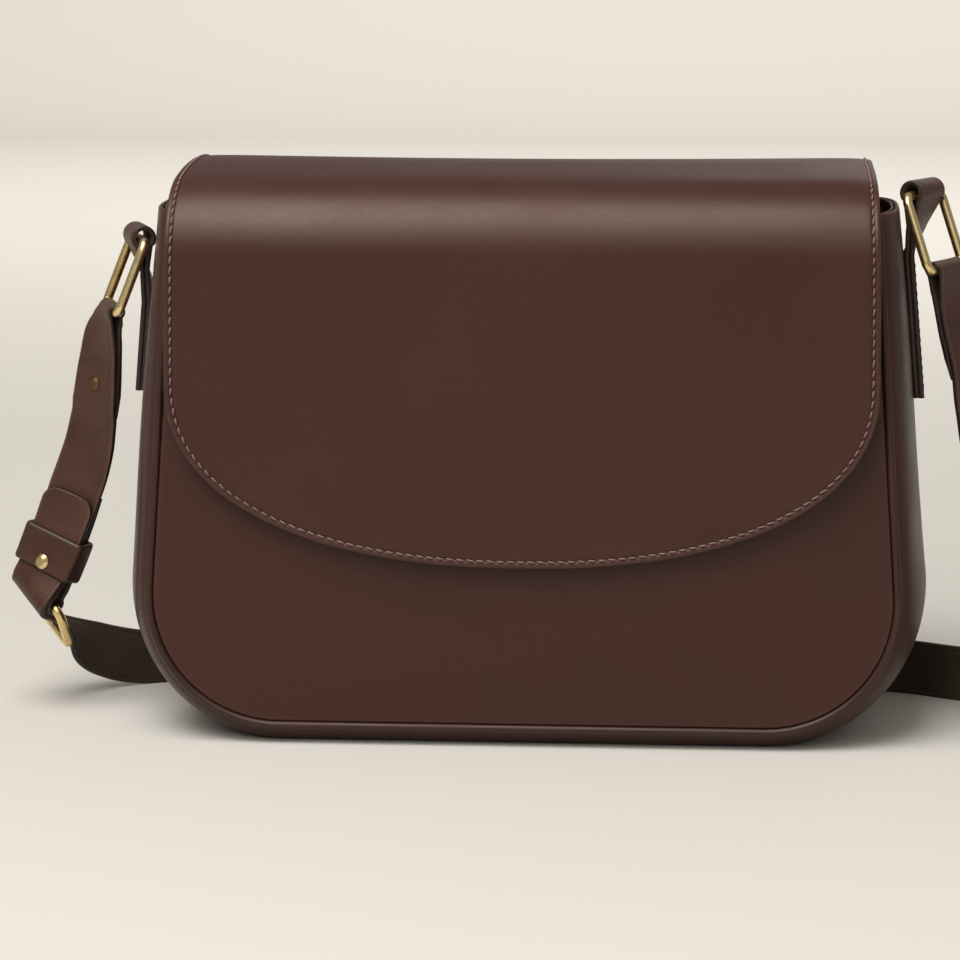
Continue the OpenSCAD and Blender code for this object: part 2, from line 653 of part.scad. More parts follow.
// Part of a line between two frames, its first or last frame moved in by the dividing gap
function part_of(line, a, b, cut_first) =
    let (step = norm(line[a + 1][0] - line[a][0]),
        moved = [lerp(line[a][0], line[a + 1][0], strap_cut / step), line[a][1], line[a][2]])
    concat([cut_first ? moved : line[a]], [for (i = [a + 1 : b]) line[i]]);

// Folded strap end on a ring: a fold round the bar, closing to two layers, then the thin end
fold_r = wire_r + bar_gap + fold_t;
thick_shares = [1, 0.85, 0.7, 0.6, 0.56];
function end_thick(i) = 2 * (i < len(thick_shares) ? fold_r * thick_shares[i] : strap_t);
module strap_end(line, split, v) {
    part = [for (i = [0 : split]) line[i]];
    difference() {
        union() {
            band(part, strap_w, [for (i = [0 : split]) end_thick(i < split ? i : len(thick_shares))]);
            bar(bar_low(v), bar_dir(v), strap_w, fold_r);
        }
        bar(bar_low(v), bar_dir(v), strap_w + tab_w, wire_r + bar_gap);
        at_rivet(line) cylinder(h = strap_w, r = rivet_r + shank_gap, center = true);
    }
}
// First frame at least the rivet's distance down the line
function line_index(line, far, i = 0, run = 0) =
    run >= far ? i : line_index(line, far, i + 1, run + norm(line[i + 1][0] - line[i][0]));
module at_rivet(line) {
    f = line[line_index(line, rivet_drop)];
    in_frame(f[0], f[1], cross(f[2], f[1]), f[2]) children();
}
module end_rivet(line) {
    at_rivet(line) {
        cylinder(h = 2 * (strap_t + rivet_seat), r = rivet_r, center = true);
        for (s = [-1, 1]) mirror([0, 0, s > 0 ? 0 : 1]) translate([0, 0, strap_t + rivet_seat])
            cylinder(h = rivet_head_h, r1 = rivet_head_r, r2 = rivet_r);
    }
}
module left_strap_end() {
    color(leather) strap_end(left_line, left_split, left);
}
module right_strap_end() {
    color(leather) strap_end(right_line, right_split, right);
}
module left_end_rivet() {
    color(brass) end_rivet(left_line);
}
module right_end_rivet() {
    color(brass) end_rivet(right_line);
}

// Upper strap: one layer, then two layers down to the fold round the buckle's heel bar
double_row = 6;
double_from = double_row * route_steps;
module upper_strap() {
    last = len(left_line) - 1;
    part = part_of(left_line, left_split, last, true);
    color(leather) difference() {
        union() {
            band(part, strap_w, [for (i = [0 : len(part) - 1])
                i + left_split < double_from ? strap_t : 2 * strap_t]);
            bar(heel, buckle_wide, strap_w, fold_r);
        }
        bar(heel, buckle_wide, strap_w + tab_w, wire_r + bar_gap);
        at_keeper() stud_hole();
    }
}
module buckle_frame() {
    color(brass) wire_loop(heel, buckle_wide, buckle_long, buckle_w, buckle_h);
}

// Keeper: leather loop round both straps, at a frame of the upper strap
keeper_place = 8;
keeper_row = keeper_place * route_steps;
keeper_rows = [-3, 1];
tongue_rows_up = 4;
tongue_row_step = 2;
keeper_at = left_line[keeper_row];
front_sign = keeper_at[2][1] < 0 ? 1 : -1;
keeper_face = front_sign * keeper_at[2];
keeper_down = cross(keeper_at[1], keeper_face);
tongue_lift = strap_t + tongue_gap + strap_t / 2;
module at_keeper() {
    in_frame(keeper_at[0], keeper_at[1], -keeper_down, keeper_face) children();
}
// Ring of a rectangular tube round the strap at a frame, grown by a given amount
function tube_ring(f, grow, r) =
    let (half = strap_w / 2 + keeper_gap + grow, behind = strap_t + keeper_gap + grow,
        ahead = tongue_lift + strap_t / 2 + keeper_gap + grow,
        low = front_sign > 0 ? behind : ahead, high = front_sign > 0 ? ahead : behind)
    [for (b = bevel_signs) f[0] + f[1] * (b[0] * half + b[2] * r)
        + f[2] * ((b[1] < 0 ? -low : high) + b[3] * r)];
keeper_frames = [for (i = [keeper_rows[0] : keeper_rows[1]]) left_line[keeper_row + i]];
module keeper() {
    outer = [for (f = keeper_frames) tube_ring(f, keeper_t, keeper_t / 2)];
    inner = [for (f = keeper_frames) tube_ring(f, 0, keeper_gap)];
    color(leather) difference() {
        closed_skin([for (k = [0 : len(outer[0]) - 1])
            concat([for (ring = outer) ring[k]], [for (ring = reversed(inner)) ring[k]])]);
        at_keeper() stud_hole();
    }
}
module stud_hole() {
    cylinder(h = strap_w, r = rivet_r + shank_gap);
}
module adjuster_stud() {
    top = tongue_lift + strap_t / 2 + keeper_gap + keeper_t + rivet_seat;
    color(brass) at_keeper() {
        translate([0, 0, shank_gap]) cylinder(h = top - shank_gap, r = rivet_r);
        translate([0, 0, top]) cylinder(h = stud_head_h, r1 = stud_head_r, r2 = rivet_r);
    }
}

// Long strap: the route up to the buckle, then its tongue through the frame and under the keeper
cross_shares = [0.42, 0.1];
heel_turns = [-35, 8];
strap_face = front_sign * left_line[len(left_line) - 1][2];
fold_turn = acos(buckle_face * strap_face);
function by_heel(down, off) = concat(heel + down * buckle_long + off * buckle_face, buckle_wide);
function round_heel(a) = by_heel(-over_off * sin(a), over_off * cos(a));
function over_strap(i, lift) = let (f = left_line[i]) concat(f[0] + lift * front_sign * f[2], f[1]);
tongue_rows = concat(
    [by_heel(buckle_h * cross_shares[0], over_off * cross_shares[1])],
    [for (a = heel_turns) round_heel(a)],
    [round_heel(fold_turn)],
    [for (i = [0 : tongue_rows_up]) over_strap(keeper_row + keeper_rows[1] - tongue_row_step * i,
        tongue_lift + (i > 0 ? seam_gap : sheet_gap))]);
long_route = concat([for (i = [right_split_row : len(right_route) - 1]) right_route[i]], tongue_rows);
// The strap's lower edge never goes below the floor
function resting(f) = [[f[0][0], f[0][1], max(f[0][2], abs(f[1][2]) * strap_w / 2)], f[1], f[2]];
long_line = [for (f = frames(spline(long_route))) resting(f)];
module long_strap() {
    part = part_of(long_line, 0, len(long_line) - 1, true);
    color(leather) difference() {
        band(part, strap_w, [for (f = part) strap_t]);
        at_keeper() stud_hole();
    }
}

front_panel();
back_panel();
gusset();
front_piping();
back_piping();
front_facing();
back_facing();
front_lining();
back_lining();
gusset_lining();
slip_pocket();
base_board();
flap_seam_strip();
flap_outer();
flap_lining();
snap_socket();
snap_socket_washer();
snap_stud();
snap_stud_washer();
left_tab();
right_tab();
left_ring();
right_ring();
left_strap_end();
right_strap_end();
left_end_rivet();
right_end_rivet();
upper_strap();
keeper();
adjuster_stud();
buckle_frame();
long_strap();
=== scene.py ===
"""Looks of a crossbody bag: dark brown leather, a stitched flap, two ring tabs and an adjustable strap."""
import math
import bpy
import bmesh
import numpy as np
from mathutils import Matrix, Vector


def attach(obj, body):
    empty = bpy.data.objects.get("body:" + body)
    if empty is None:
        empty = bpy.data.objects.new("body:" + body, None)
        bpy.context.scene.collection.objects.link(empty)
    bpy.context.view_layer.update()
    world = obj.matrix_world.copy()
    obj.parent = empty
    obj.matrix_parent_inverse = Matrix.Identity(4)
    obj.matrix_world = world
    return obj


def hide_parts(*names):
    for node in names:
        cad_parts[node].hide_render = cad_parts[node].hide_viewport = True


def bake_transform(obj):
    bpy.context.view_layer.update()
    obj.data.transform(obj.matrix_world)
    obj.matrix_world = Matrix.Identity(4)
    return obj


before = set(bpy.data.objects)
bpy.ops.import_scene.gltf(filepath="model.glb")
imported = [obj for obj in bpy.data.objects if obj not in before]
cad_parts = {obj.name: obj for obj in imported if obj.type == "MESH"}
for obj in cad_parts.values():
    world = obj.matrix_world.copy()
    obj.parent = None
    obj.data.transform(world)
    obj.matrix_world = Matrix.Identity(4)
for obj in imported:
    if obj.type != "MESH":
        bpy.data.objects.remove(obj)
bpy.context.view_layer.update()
MM = 0.001
rng = np.random.default_rng(11)

# ---- values, in millimetres
PANEL_W, PANEL_H, SEAM_LIFT, CORNER_R, LEAN = 232.0, 165.0, 5.5, 41.0, math.radians(3.8)
DEPTH_LOW, DEPTH_TOP = 80.0, 64.0
SIDE_CROWN_LOW, SIDE_CROWN_TOP, PILLOW = 10.3, 7.0, 2.0
BASE_FLAT, SIDE_FLAT = 0.8, 0.1
LEATHER, LINING, SEAM_GAP, SHEET_GAP, FACING_H = 1.6, 0.8, 0.1, 0.3, 24.0
LAYER_GAP = LEATHER + SEAM_GAP
FLAP_HALF, FLAP_CROWN_HALF, HEM_LOW, HEM_HIGH, HEM_POWER = 109.0, 107.0, 57.0, 114.0, 2.3
BACK_ROLL, ARCH_R, FRONT_ROLL, ROLL_INSET = 13.0, 140.0, 25.0, 15.6
ARCH_START = math.radians(84)
STRIP_H = 22.0
SOCKET_PROUD, SNAP_GAP, STUD_PROUD, SNAP_Z = 0.9, 0.4, 0.4, 78.0
TAB_W, TAB_T, TAB_LOW, TAB_FORWARD, HOLLOW, NECK = 16.0, 1.6, 106.0, 2.0, 2.4, 16.0
WIRE, RING_H, BUCKLE_H, BAR_GAP = 1.5, 24.0, 19.0, 0.1
STRAP_W, STRAP_T, FOLD_T, TONGUE_GAP, KEEPER_GAP, KEEPER_T = 18.0, 1.8, 1.2, 0.6, 0.5, 1.3
STITCH_PITCH, STITCH_LEN, STITCH_R, STITCH_INSET, STITCH_SLANT = 3.1, 2.35, 0.37, 2.15, 0.12
POCKET_HALF, POCKET_LOW, POCKET_TOP, POCKET_HEM, POCKET_SWELL = 60.0, 58.0, 128.0, 112.0, 7.0
BOARD_HALF_L, BOARD_HALF_W, BOARD_R, BOARD_T = 69.0, 29.0, 8.0, 1.5
BEAD_R, BEAD_IN, BEAD_BACK = 1.28, 0.42, 0.48
LEFT_CUT, RIGHT_CUT, FOLD_TAIL = 4, 3, 34.0


def lerp(a, b, t):
    return a + (b - a) * t


def smooth(a, b, x):
    t = np.clip((x - a) / (b - a), 0, 1)
    return t * t * (3 - 2 * t)


def unit(v):
    v = np.asarray(v, float)
    return v / np.linalg.norm(v)


def lengths(points):
    """Running length at each point of a line."""
    return np.concatenate([[0], np.cumsum(np.linalg.norm(np.diff(points, axis=0), axis=1))])


def quads(rows, cols, round_rows=False, round_cols=True):
    """Faces between the points of a grid that is counted row by row."""
    faces = []
    for i in range(rows if round_rows else rows - 1):
        here, there = i * cols, (i + 1) % rows * cols
        for j in range(cols if round_cols else cols - 1):
            k = (j + 1) % cols
            faces.append([here + j, here + k, there + k, there + j])
    return faces


# ---- mesh helpers
def mesh_object(name, verts, faces, mats, indices=None, uvs=None, wear=None):
    """An object from points in millimetres; uvs are per vertex, in metres."""
    mesh = bpy.data.meshes.new(name)
    mesh.from_pydata((np.asarray(verts, float) * MM).tolist(), [], [list(map(int, f)) for f in faces])
    for m in mats:
        mesh.materials.append(m)
    if indices is not None:
        mesh.polygons.foreach_set("material_index", np.asarray(indices, np.int32))
    mesh.polygons.foreach_set("use_smooth", [True] * len(mesh.polygons))
    if uvs is not None:
        layer = mesh.uv_layers.new(name="UVMap")
        loops = np.zeros(len(mesh.loops), np.int32)
        mesh.loops.foreach_get("vertex_index", loops)
        layer.data.foreach_set("uv", (np.asarray(uvs, float) * MM)[loops].astype(np.float32).ravel())
    if wear is not None:
        mesh.attributes.new("wear", "FLOAT", "POINT").data.foreach_set("value", np.asarray(wear, np.float32))
    mesh.update()
    work = bmesh.new()
    work.from_mesh(mesh)
    bmesh.ops.recalc_face_normals(work, faces=work.faces)
    work.to_mesh(mesh)
    work.free()
    obj = bpy.data.objects.new(name, mesh)
    bpy.context.scene.collection.objects.link(obj)
    return obj


def join_parts(parts):
    """Joins (verts, faces, indices, uvs, wear) lists into one set."""
    verts, faces, indices, uvs, wear, base = [], [], [], [], [], 0
    for v, f, i, u, w in parts:
        verts.append(np.asarray(v, float))
        faces += [[a + base for a in face] for face in f]
        indices += list(i)
        uvs.append(np.asarray(u, float))
        wear.append(np.asarray(w, float))
        base += len(v)
    return np.vstack(verts), faces, indices, np.vstack(uvs), np.concatenate(wear)


# Distances from a sheet's edge at which its rings of points lie
EDGE_STEPS = [0, 0.12, 0.3, 0.55, 0.85, 1.25, 1.65, 1.9, 2.15, 2.4, 2.7, 3.2, 4.2, 6.2, 9.5]
FILL_STEPS = 26
# The creased line along a strap's edge, and where its flat middle starts
CREASE_AT, CREASE_DEPTH, FLAT_FROM = 1.7, 0.16, 3.0


def edge_round(e, thick):
    """How far a sheet's face sinks near its rounded edge."""
    r = min(thick / 2, 0.9)
    x = np.clip(1 - e / r, 0, 1)
    return thick / 2 * (1 - np.sqrt(1 - x * x))


def channel(e, inset=STITCH_INSET, depth=0.3, half=0.42):
    return depth * np.exp(-((e - inset) / half) ** 2)


def resample(points, step):
    """Evenly spaced points along a closed polyline."""
    p = np.vstack([points, points[:1]])
    d = lengths(p)
    n = max(8, int(round(d[-1] / step)))
    t = np.linspace(0, d[-1], n, endpoint=False)
    return np.column_stack([np.interp(t, d, p[:, k]) for k in range(p.shape[1])]), d[-1]


def inward(loop):
    """Unit normals pointing inwards from a closed, anticlockwise loop."""
    t = np.roll(loop, -1, axis=0) - np.roll(loop, 1, axis=0)
    t /= np.linalg.norm(t, axis=1)[:, None]
    return np.column_stack([-t[:, 1], t[:, 0]])


def rings_by_distance(loop, spine, edges):
    """Rings of points at given distances inside a convex loop, each on its line to the spine."""
    a, ab = loop, np.roll(loop, -1, axis=0) - loop
    size = (ab ** 2).sum(1)
    reach = np.minimum(np.linalg.norm(spine - loop, axis=1), 5 * edges[-1])
    way = (spine - loop) / np.linalg.norm(spine - loop, axis=1)[:, None]
    shares = np.linspace(0, 1, 40) ** 1.7
    depth = np.zeros((len(shares), len(loop)))
    for k, share in enumerate(shares[1:], 1):
        p = loop + way * (reach * share)[:, None]
        t = np.clip(((p[:, None] - a[None]) * ab[None]).sum(2) / size[None], 0, 1)
        gap = p[:, None] - (a[None] + t[..., None] * ab[None])
        depth[k] = np.sqrt((gap ** 2).sum(2)).min(1)
    depth = np.maximum.accumulate(depth, axis=0)
    rings = []
    for e in edges:
        far = np.array([np.interp(e, depth[:, i], shares * reach[i]) for i in range(len(loop))])
        rings.append(loop + way * far[:, None])
    return rings


def fan_sheet(loop, place, thick, seam=0.0, back_seam=0.0, low_gap=60.0, high_gap=40.0, rim=0.5,
              step=2.0, fill=FILL_STEPS, narrow=False):
    """A sheet of leather or cloth inside a closed loop of flat points (a, b).

    place(a, b, off) gives the points in space, off being the depth below the outer face. Rings of points
    follow the edge, and further in they run to a spine, so a stitch channel can follow the edge."""
    loop, _ = resample(np.asarray(loop, float), step)
    n = len(loop)
    low, high = loop.min(0), loop.max(0)
    on = 0 if narrow else 1
    spine = np.empty((n, 2))
    share = (loop[:, on] - low[on]) / (high[on] - low[on])
    spine[:, on] = lerp(low[on] + low_gap, high[on] - high_gap, share)
    spine[:, 1 - on] = (low[1 - on] + high[1 - on]) / 2
    rings = rings_by_distance(loop, spine, EDGE_STEPS)
    dist = [np.full(n, e) for e in EDGE_STEPS]
    start = rings[-1]
    reach = np.linalg.norm(spine - start, axis=1)
    for k in range(1, fill + 1):
        rings.append(lerp(start, spine, k / fill))
        dist.append(EDGE_STEPS[-1] + reach * (k / fill))
    flat, e = np.vstack(rings), np.concatenate(dist)
    count = len(flat)
    sink = edge_round(e, thick)
    outer = place(flat[:, 0], flat[:, 1], sink + channel(e, depth=seam))
    inner = place(flat[n:, 0], flat[n:, 1], thick - (sink + channel(e, depth=back_seam))[n:])
    wear = np.exp(-e / 1.6)
    faces, indices = [], []
    for f in quads(len(rings), n):
        ring = f[0] // n
        on_rim = ring + 1 < len(EDGE_STEPS) and EDGE_STEPS[ring + 1] <= rim
        faces += [f, [x if x < n else x - n + count for x in f][::-1]]
        indices += [2, 2] if on_rim else [0, 1]
    verts, uvs = np.vstack([outer, inner]), np.vstack([flat, flat[n:]])
    return verts, faces, indices, uvs, np.concatenate([wear, wear[n:]])


def band_grid(outer, inner, wear, along, across):
    """A closed strip between two grids of points, rows by columns, with its four edges joined."""
    rows, cols = outer.shape[:2]
    base = rows * cols
    uv = np.column_stack([np.asarray(across).ravel(), np.asarray(along).ravel()])
    faces, indices = [], []
    for f in quads(rows, cols, round_cols=False):
        faces += [f, [x + base for x in f[::-1]]]
        indices += [0, 1]
    ring = [j for j in range(cols)] + [i * cols + cols - 1 for i in range(1, rows)]
    ring += [(rows - 1) * cols + j for j in range(cols - 2, -1, -1)]
    ring += [i * cols for i in range(rows - 2, 0, -1)]
    for a, b in zip(ring, ring[1:] + ring[:1]):
        faces.append([b, a, a + base, b + base])
        indices.append(2)
    verts = np.vstack([outer.reshape(-1, 3), inner.reshape(-1, 3)])
    return verts, faces, indices, np.vstack([uv, uv]), np.concatenate([wear.ravel()] * 2)


def sweep(frames, widths, thicks, slots=(0, 1, 2), caps=(True, True)):
    """A strap along frames (place, across, face), with rounded edges and a creased line near each edge."""
    n = len(frames)
    place, across, face = (np.array([f[k] for f in frames]) for k in range(3))
    widths, thicks = np.broadcast_to(widths, n), np.broadcast_to(thicks, n)
    # each point of the section: its kind, which side and face it is on, and its place there
    spec = []
    for side in (1, -1):
        spec += [("edge", side, side * math.sin(a), math.cos(a)) for a in np.radians(range(75, -76, -30))]
        flat = [(0.8, 0.0), (1.35, 0.0), (CREASE_AT, CREASE_DEPTH), (2.05, 0.0), (FLAT_FROM, 0.0)]
        spec += [("flat", side, -side, d, g) for d, g in flat]
        spec += [("mid", side, -side, s) for s in (0.6, 0.3, 0, -0.3, -0.6)]
        spec += [("flat", -side, -side, d, g) for d, g in flat[::-1]]
    m = len(spec)
    verts, uvs, wear = [], [], []
    run = lengths(place)
    for i in range(n):
        w, t = widths[i] / 2, thicks[i] / 2
        r = min(t, 0.75) * 0.55
        for s in spec:
            if s[0] == "edge":
                x, y = s[1] * (w - r + r * s[3]), s[2] * t
            elif s[0] == "flat":
                x, y = s[1] * (w - s[3]), s[2] * (t - s[4] * min(1, t))
            else:
                x, y = s[1] * s[3] * (w - FLAT_FROM - 0.2), s[2] * t
            verts.append(place[i] + across[i] * x + face[i] * y)
            uvs.append([x, run[i]])
            wear.append(math.exp(-(w - abs(x)) / 1.2))
    faces, indices = [], []
    for f in quads(n, m):
        j = f[0] % m
        faces.append([f[3], f[2], f[1], f[0]])
        if spec[j][0] == "edge" and spec[(j + 1) % m][0] == "edge":
            indices.append(slots[2])
        else:
            indices.append(slots[0] if spec[j][2] > 0 else slots[1])
    if caps[0]:
        faces.append(list(range(m)))
        indices.append(slots[2])
    if caps[1]:
        faces.append([(n - 1) * m + j for j in range(m - 1, -1, -1)])
        indices.append(slots[2])
    return np.array(verts), faces, indices, np.array(uvs), np.array(wear)


def tube(points, radius, sides=10):
    """A round tube with closed ends; radius may change along it."""
    p = np.asarray(points, float)
    n = len(p)
    radius = np.broadcast_to(radius, n)
    t = np.gradient(p, axis=0)
    t /= np.linalg.norm(t, axis=1)[:, None]
    side = unit(np.cross(t[0], [0.3, 0.9, 0.2]))
    verts, uvs, run = [], [], lengths(p)
    for i in range(n):
        side = unit(side - t[i] * (side @ t[i]))
        other = np.cross(t[i], side)
        for k in range(sides):
            a = 2 * math.pi * k / sides
            verts.append(p[i] + radius[i] * (math.cos(a) * side + math.sin(a) * other))
            uvs.append([a * radius[i], run[i]])
    faces = quads(n, sides) + [list(range(sides - 1, -1, -1)), [(n - 1) * sides + k for k in range(sides)]]
    return np.array(verts), faces, [0] * len(faces), np.array(uvs), np.zeros(len(verts))


def stitches(line, place, proud=0.16, sink=0.34, closed=False, pitch=STITCH_PITCH, length=STITCH_LEN):
    """Thread stitches along flat points; place(a, b, off) puts them on the surface, in their channel."""
    line = np.asarray(line, float)
    pts = np.vstack([line, line[:1]]) if closed else line
    d = lengths(pts)
    count = max(1, int(round(d[-1] / pitch)))
    parts = []
    # along the stitch: place, thickness and lift, as shares
    shape = [(-1.0, 0.35, 0.0), (-0.82, 0.85, 0.55), (-0.4, 1.0, 0.92), (0.0, 1.0, 1.0),
             (0.4, 1.0, 0.92), (0.82, 0.85, 0.55), (1.0, 0.35, 0.0)]
    for k in range(count):
        mid = (k + 0.5) * d[-1] / count
        a, b, c = (np.array([np.interp(m, d, pts[:, q]) for q in (0, 1)])
                   for m in (mid, min(mid + 0.4, d[-1]), max(mid - 0.4, 0)))
        t = (b - c) / max(1e-9, np.linalg.norm(b - c))
        cross = np.array([-t[1], t[0]])
        size = 1 + rng.uniform(-0.06, 0.06)
        lean = STITCH_SLANT + rng.uniform(-0.05, 0.05)
        flat = np.array([a + (t + cross * lean) * u * length / 2 * size for u, _, _ in shape])
        off = np.array([lerp(sink, -proud, lift) for _, _, lift in shape])
        parts.append(tube(place(flat[:, 0], flat[:, 1], off), [STITCH_R * r for _, r, _ in shape], sides=6))
    return join_parts(parts)


# ---- the body's form
CORNER_X, CORNER_Z = PANEL_W / 2 - CORNER_R, SEAM_LIFT + CORNER_R
SIDE_X0, SIDE_Z0 = CORNER_X + CORNER_R * math.cos(LEAN), CORNER_Z + CORNER_R * math.sin(LEAN)
ARC_LEN = CORNER_R * (math.pi / 2 + LEAN)
SIDE_LEN = (PANEL_H - SIDE_Z0) / math.cos(LEAN)
HALF_LEN = CORNER_X + ARC_LEN + SIDE_LEN


def station(d):
    """Place on the seam outline at a signed distance from the middle of the base: x, z, normal, share."""
    sign, a = (1 if d >= 0 else -1), min(abs(d), HALF_LEN)
    if a < CORNER_X:
        x, z, nx, nz, share = a, SEAM_LIFT, 0.0, -1.0, 0.0
    elif a < CORNER_X + ARC_LEN:
        share = (a - CORNER_X) / ARC_LEN
        t = -math.pi / 2 + (a - CORNER_X) / CORNER_R
        nx, nz = math.cos(t), math.sin(t)
        x, z = CORNER_X + CORNER_R * nx, CORNER_Z + CORNER_R * nz
    else:
        u = a - CORNER_X - ARC_LEN
        nx, nz, share = math.cos(LEAN), math.sin(LEAN), 1.0
        x, z = SIDE_X0 - u * math.sin(LEAN), SIDE_Z0 + u * math.cos(LEAN)
    return sign * x, z, sign * nx, nz, share


def half_depth(z):
    return lerp(DEPTH_LOW, DEPTH_TOP, z / PANEL_H) / 2


def waves(x, z, seed):
    """Slow, shallow unevenness of hand-made leather work."""
    return (0.30 * np.sin(x * 0.023 + 1.3 * seed) * np.sin(z * 0.031 + 0.7 + seed)
            + 0.18 * np.sin(x * 0.047 - z * 0.029 + 2.1 * seed) + 0.1 * np.sin(x * 0.09 + z * 0.06 + seed))


def panel_y(x, z):
    cx, cz = x / SIDE_X0, 2 * (z - SEAM_LIFT) / (PANEL_H - SEAM_LIFT) - 1
    swell = PILLOW * np.maximum(0, 1 - np.power(np.abs(cx), 4)) * np.maximum(0, 1 - np.power(np.abs(cz), 4))
    return half_depth(z) + swell


def panel_place(facing):
    seed = 1.0 if facing < 0 else 2.2

    def place(x, z, off):
        x, z = np.asarray(x, float), np.asarray(z, float)
        edge = np.clip((SIDE_X0 - np.abs(x)) / 25, 0, 1) * np.clip((z - SEAM_LIFT) / 25, 0, 1)
        edge = edge * np.clip((PANEL_H - z) / 25, 0, 1)
        y = panel_y(x, z) + waves(x, z, seed) * edge - off
        return np.column_stack([x, facing * y, z])
    return place


def panel_loop(inset, low=None, top=PANEL_H, round_top=2.0):
    """Closed outline of a panel, anticlockwise seen from the front, moved in by inset."""
    pts = []
    for d in np.linspace(-HALF_LEN, HALF_LEN, 700):
        x, z, nx, nz, _ = station(d)
        x, z = x - nx * inset, z - nz * inset
        if (low is None or z >= low) and z <= top:
            pts.append([x, z])
    pts = np.array(pts)
    right = np.array([p for p in pts if p[0] > 0])
    left = np.array([p for p in pts if p[0] < 0])
    body = pts
    if low is not None:
        low_x = np.interp(low, right[:, 1], right[:, 0])
        body = np.vstack([left, [[x, low] for x in np.linspace(-low_x, low_x, 120)[1:-1]], right])
    tx = np.interp(top, right[:, 1], right[:, 0])
    corner = [[tx - round_top * (1 - math.cos(a)), top - round_top * (1 - math.sin(a))]
              for a in np.linspace(0, math.pi / 2, 5)]
    body = body[body[:, 1] <= top - round_top]
    top_line = [[x, top] for x in np.linspace(tx - round_top, -tx + round_top, 120)[1:-1]]
    return np.vstack([body, corner, top_line, [[-x, z] for x, z in corner[::-1]]])


def crown(z, share):
    return lerp(SEAM_LIFT, lerp(SIDE_CROWN_LOW, SIDE_CROWN_TOP, z / PANEL_H), share)


def rise(v, flat):
    a = abs(v)
    return 1.0 if a <= flat else math.sqrt(max(0, 1 - ((a - flat) / (1 - flat)) ** 2))


def gusset_point(d, v, inset, edge):
    """Point of the gusset at a distance along the seam and a share v of its half width."""
    x, z, nx, nz, share = station(d)
    n = crown(z, share) * rise(v, lerp(BASE_FLAT, SIDE_FLAT, share)) - inset
    soft = share * (1 - abs(v) ** 4)
    n += soft * (0.35 * math.sin(z * 0.05 + (1.1 if x > 0 else 2.7)) + 0.2 * math.sin(v * 3.1 + z * 0.031))
    # small gathers beside the seam
    pucker = math.exp(-((1 - abs(v)) / 0.16) ** 2) * smooth(0.05, 0.5, share)
    pucker *= 1 - smooth(0.97, 1.0, share) * 0.75
    n -= 0.16 * pucker * (0.5 + 0.5 * math.sin(d * 2 * math.pi / 8.3))
    return np.array([x + nx * n, v * (half_depth(z) - edge), z + nz * n])


def gusset_sheet(inset, edge, thick, back_edge, rows=230, cols=44):
    ends = [0, 0.15, 0.4, 0.8, 1.4]
    body = list(np.linspace(-HALF_LEN + 2, HALF_LEN - 2, rows))
    along = [-HALF_LEN + e for e in ends] + body + [HALF_LEN - e for e in ends[::-1]]
    v = np.sin(np.linspace(-math.pi / 2, math.pi / 2, cols))
    outer, inner, wear, us, vs = [], [], [], [], []
    for d in along:
        e = HALF_LEN - abs(d)
        sink = float(edge_round(np.array(e), thick))
        outer.append([gusset_point(d, t, inset + sink, edge) for t in v])
        inner.append([gusset_point(d, t, inset + thick - sink, back_edge) for t in v])
        wear.append([math.exp(-e / 1.6) + 0.5 * math.exp(-(1 - abs(t)) * 20) for t in v])
        us.append([t * half_depth(station(d)[1]) for t in v])
        vs.append([d for t in v])
    return band_grid(np.array(outer), np.array(inner), np.array(wear), np.array(vs), np.array(us))


# ---- the flap's form
FLAP_T = LEATHER + SHEET_GAP + LINING
HINGE_R = FLAP_T / 2
HINGE_Y, HINGE_Z = DEPTH_TOP / 2 + SHEET_GAP + HINGE_R, PANEL_H
BACK_C = np.array([HINGE_Y + HINGE_R - BACK_ROLL, HINGE_Z])
ARCH_C = BACK_C + (BACK_ROLL - ARCH_R) * np.array([math.cos(ARCH_START), math.sin(ARCH_START)])
ARCH_END = math.acos((ROLL_INSET - DEPTH_TOP / 2 - ARCH_C[0]) / (ARCH_R - FRONT_ROLL))
FRONT_C = ARCH_C + (ARCH_R - FRONT_ROLL) * np.array([math.cos(ARCH_END), math.sin(ARCH_END)])
SNAP_OUT = panel_y(0.0, SNAP_Z) + (SOCKET_PROUD + SNAP_GAP + STUD_PROUD) + FLAP_T
SNAP_P = np.array([-SNAP_OUT, SNAP_Z]) - FRONT_C
DROP_START = math.pi / 2 + math.atan2(-SNAP_P[0], SNAP_P[1]) - math.acos(FRONT_ROLL / np.linalg.norm(SNAP_P))
DROP_P = FRONT_C + FRONT_ROLL * np.array([math.cos(DROP_START), math.sin(DROP_START)])
DROP_DIR = np.array([-math.sin(DROP_START), math.cos(DROP_START)])
BACK_LEN, ARCH_LEN = BACK_ROLL * ARCH_START, ARCH_R * (ARCH_END - ARCH_START)
ROLL_LEN = FRONT_ROLL * (DROP_START - ARCH_END)


def flap_profile(s):
    """Outer point (y, z) and outward normal at lengths from the hinge."""
    s = np.asarray(s, float)
    a1 = s / BACK_ROLL
    a2 = ARCH_START + (s - BACK_LEN) / ARCH_R
    a3 = ARCH_END + (s - BACK_LEN - ARCH_LEN) / FRONT_ROLL
    back, arch = s < BACK_LEN, s < BACK_LEN + ARCH_LEN
    angle = np.where(back, a1, np.where(arch, a2, np.minimum(a3, DROP_START)))
    c = np.where(back[:, None], BACK_C, np.where(arch[:, None], ARCH_C, FRONT_C))
    r = np.where(back, BACK_ROLL, np.where(arch, ARCH_R, FRONT_ROLL))
    normal = np.column_stack([np.cos(angle), np.sin(angle)])
    extra = np.maximum(0, s - BACK_LEN - ARCH_LEN - ROLL_LEN)
    return c + r[:, None] * normal + extra[:, None] * DROP_DIR, normal


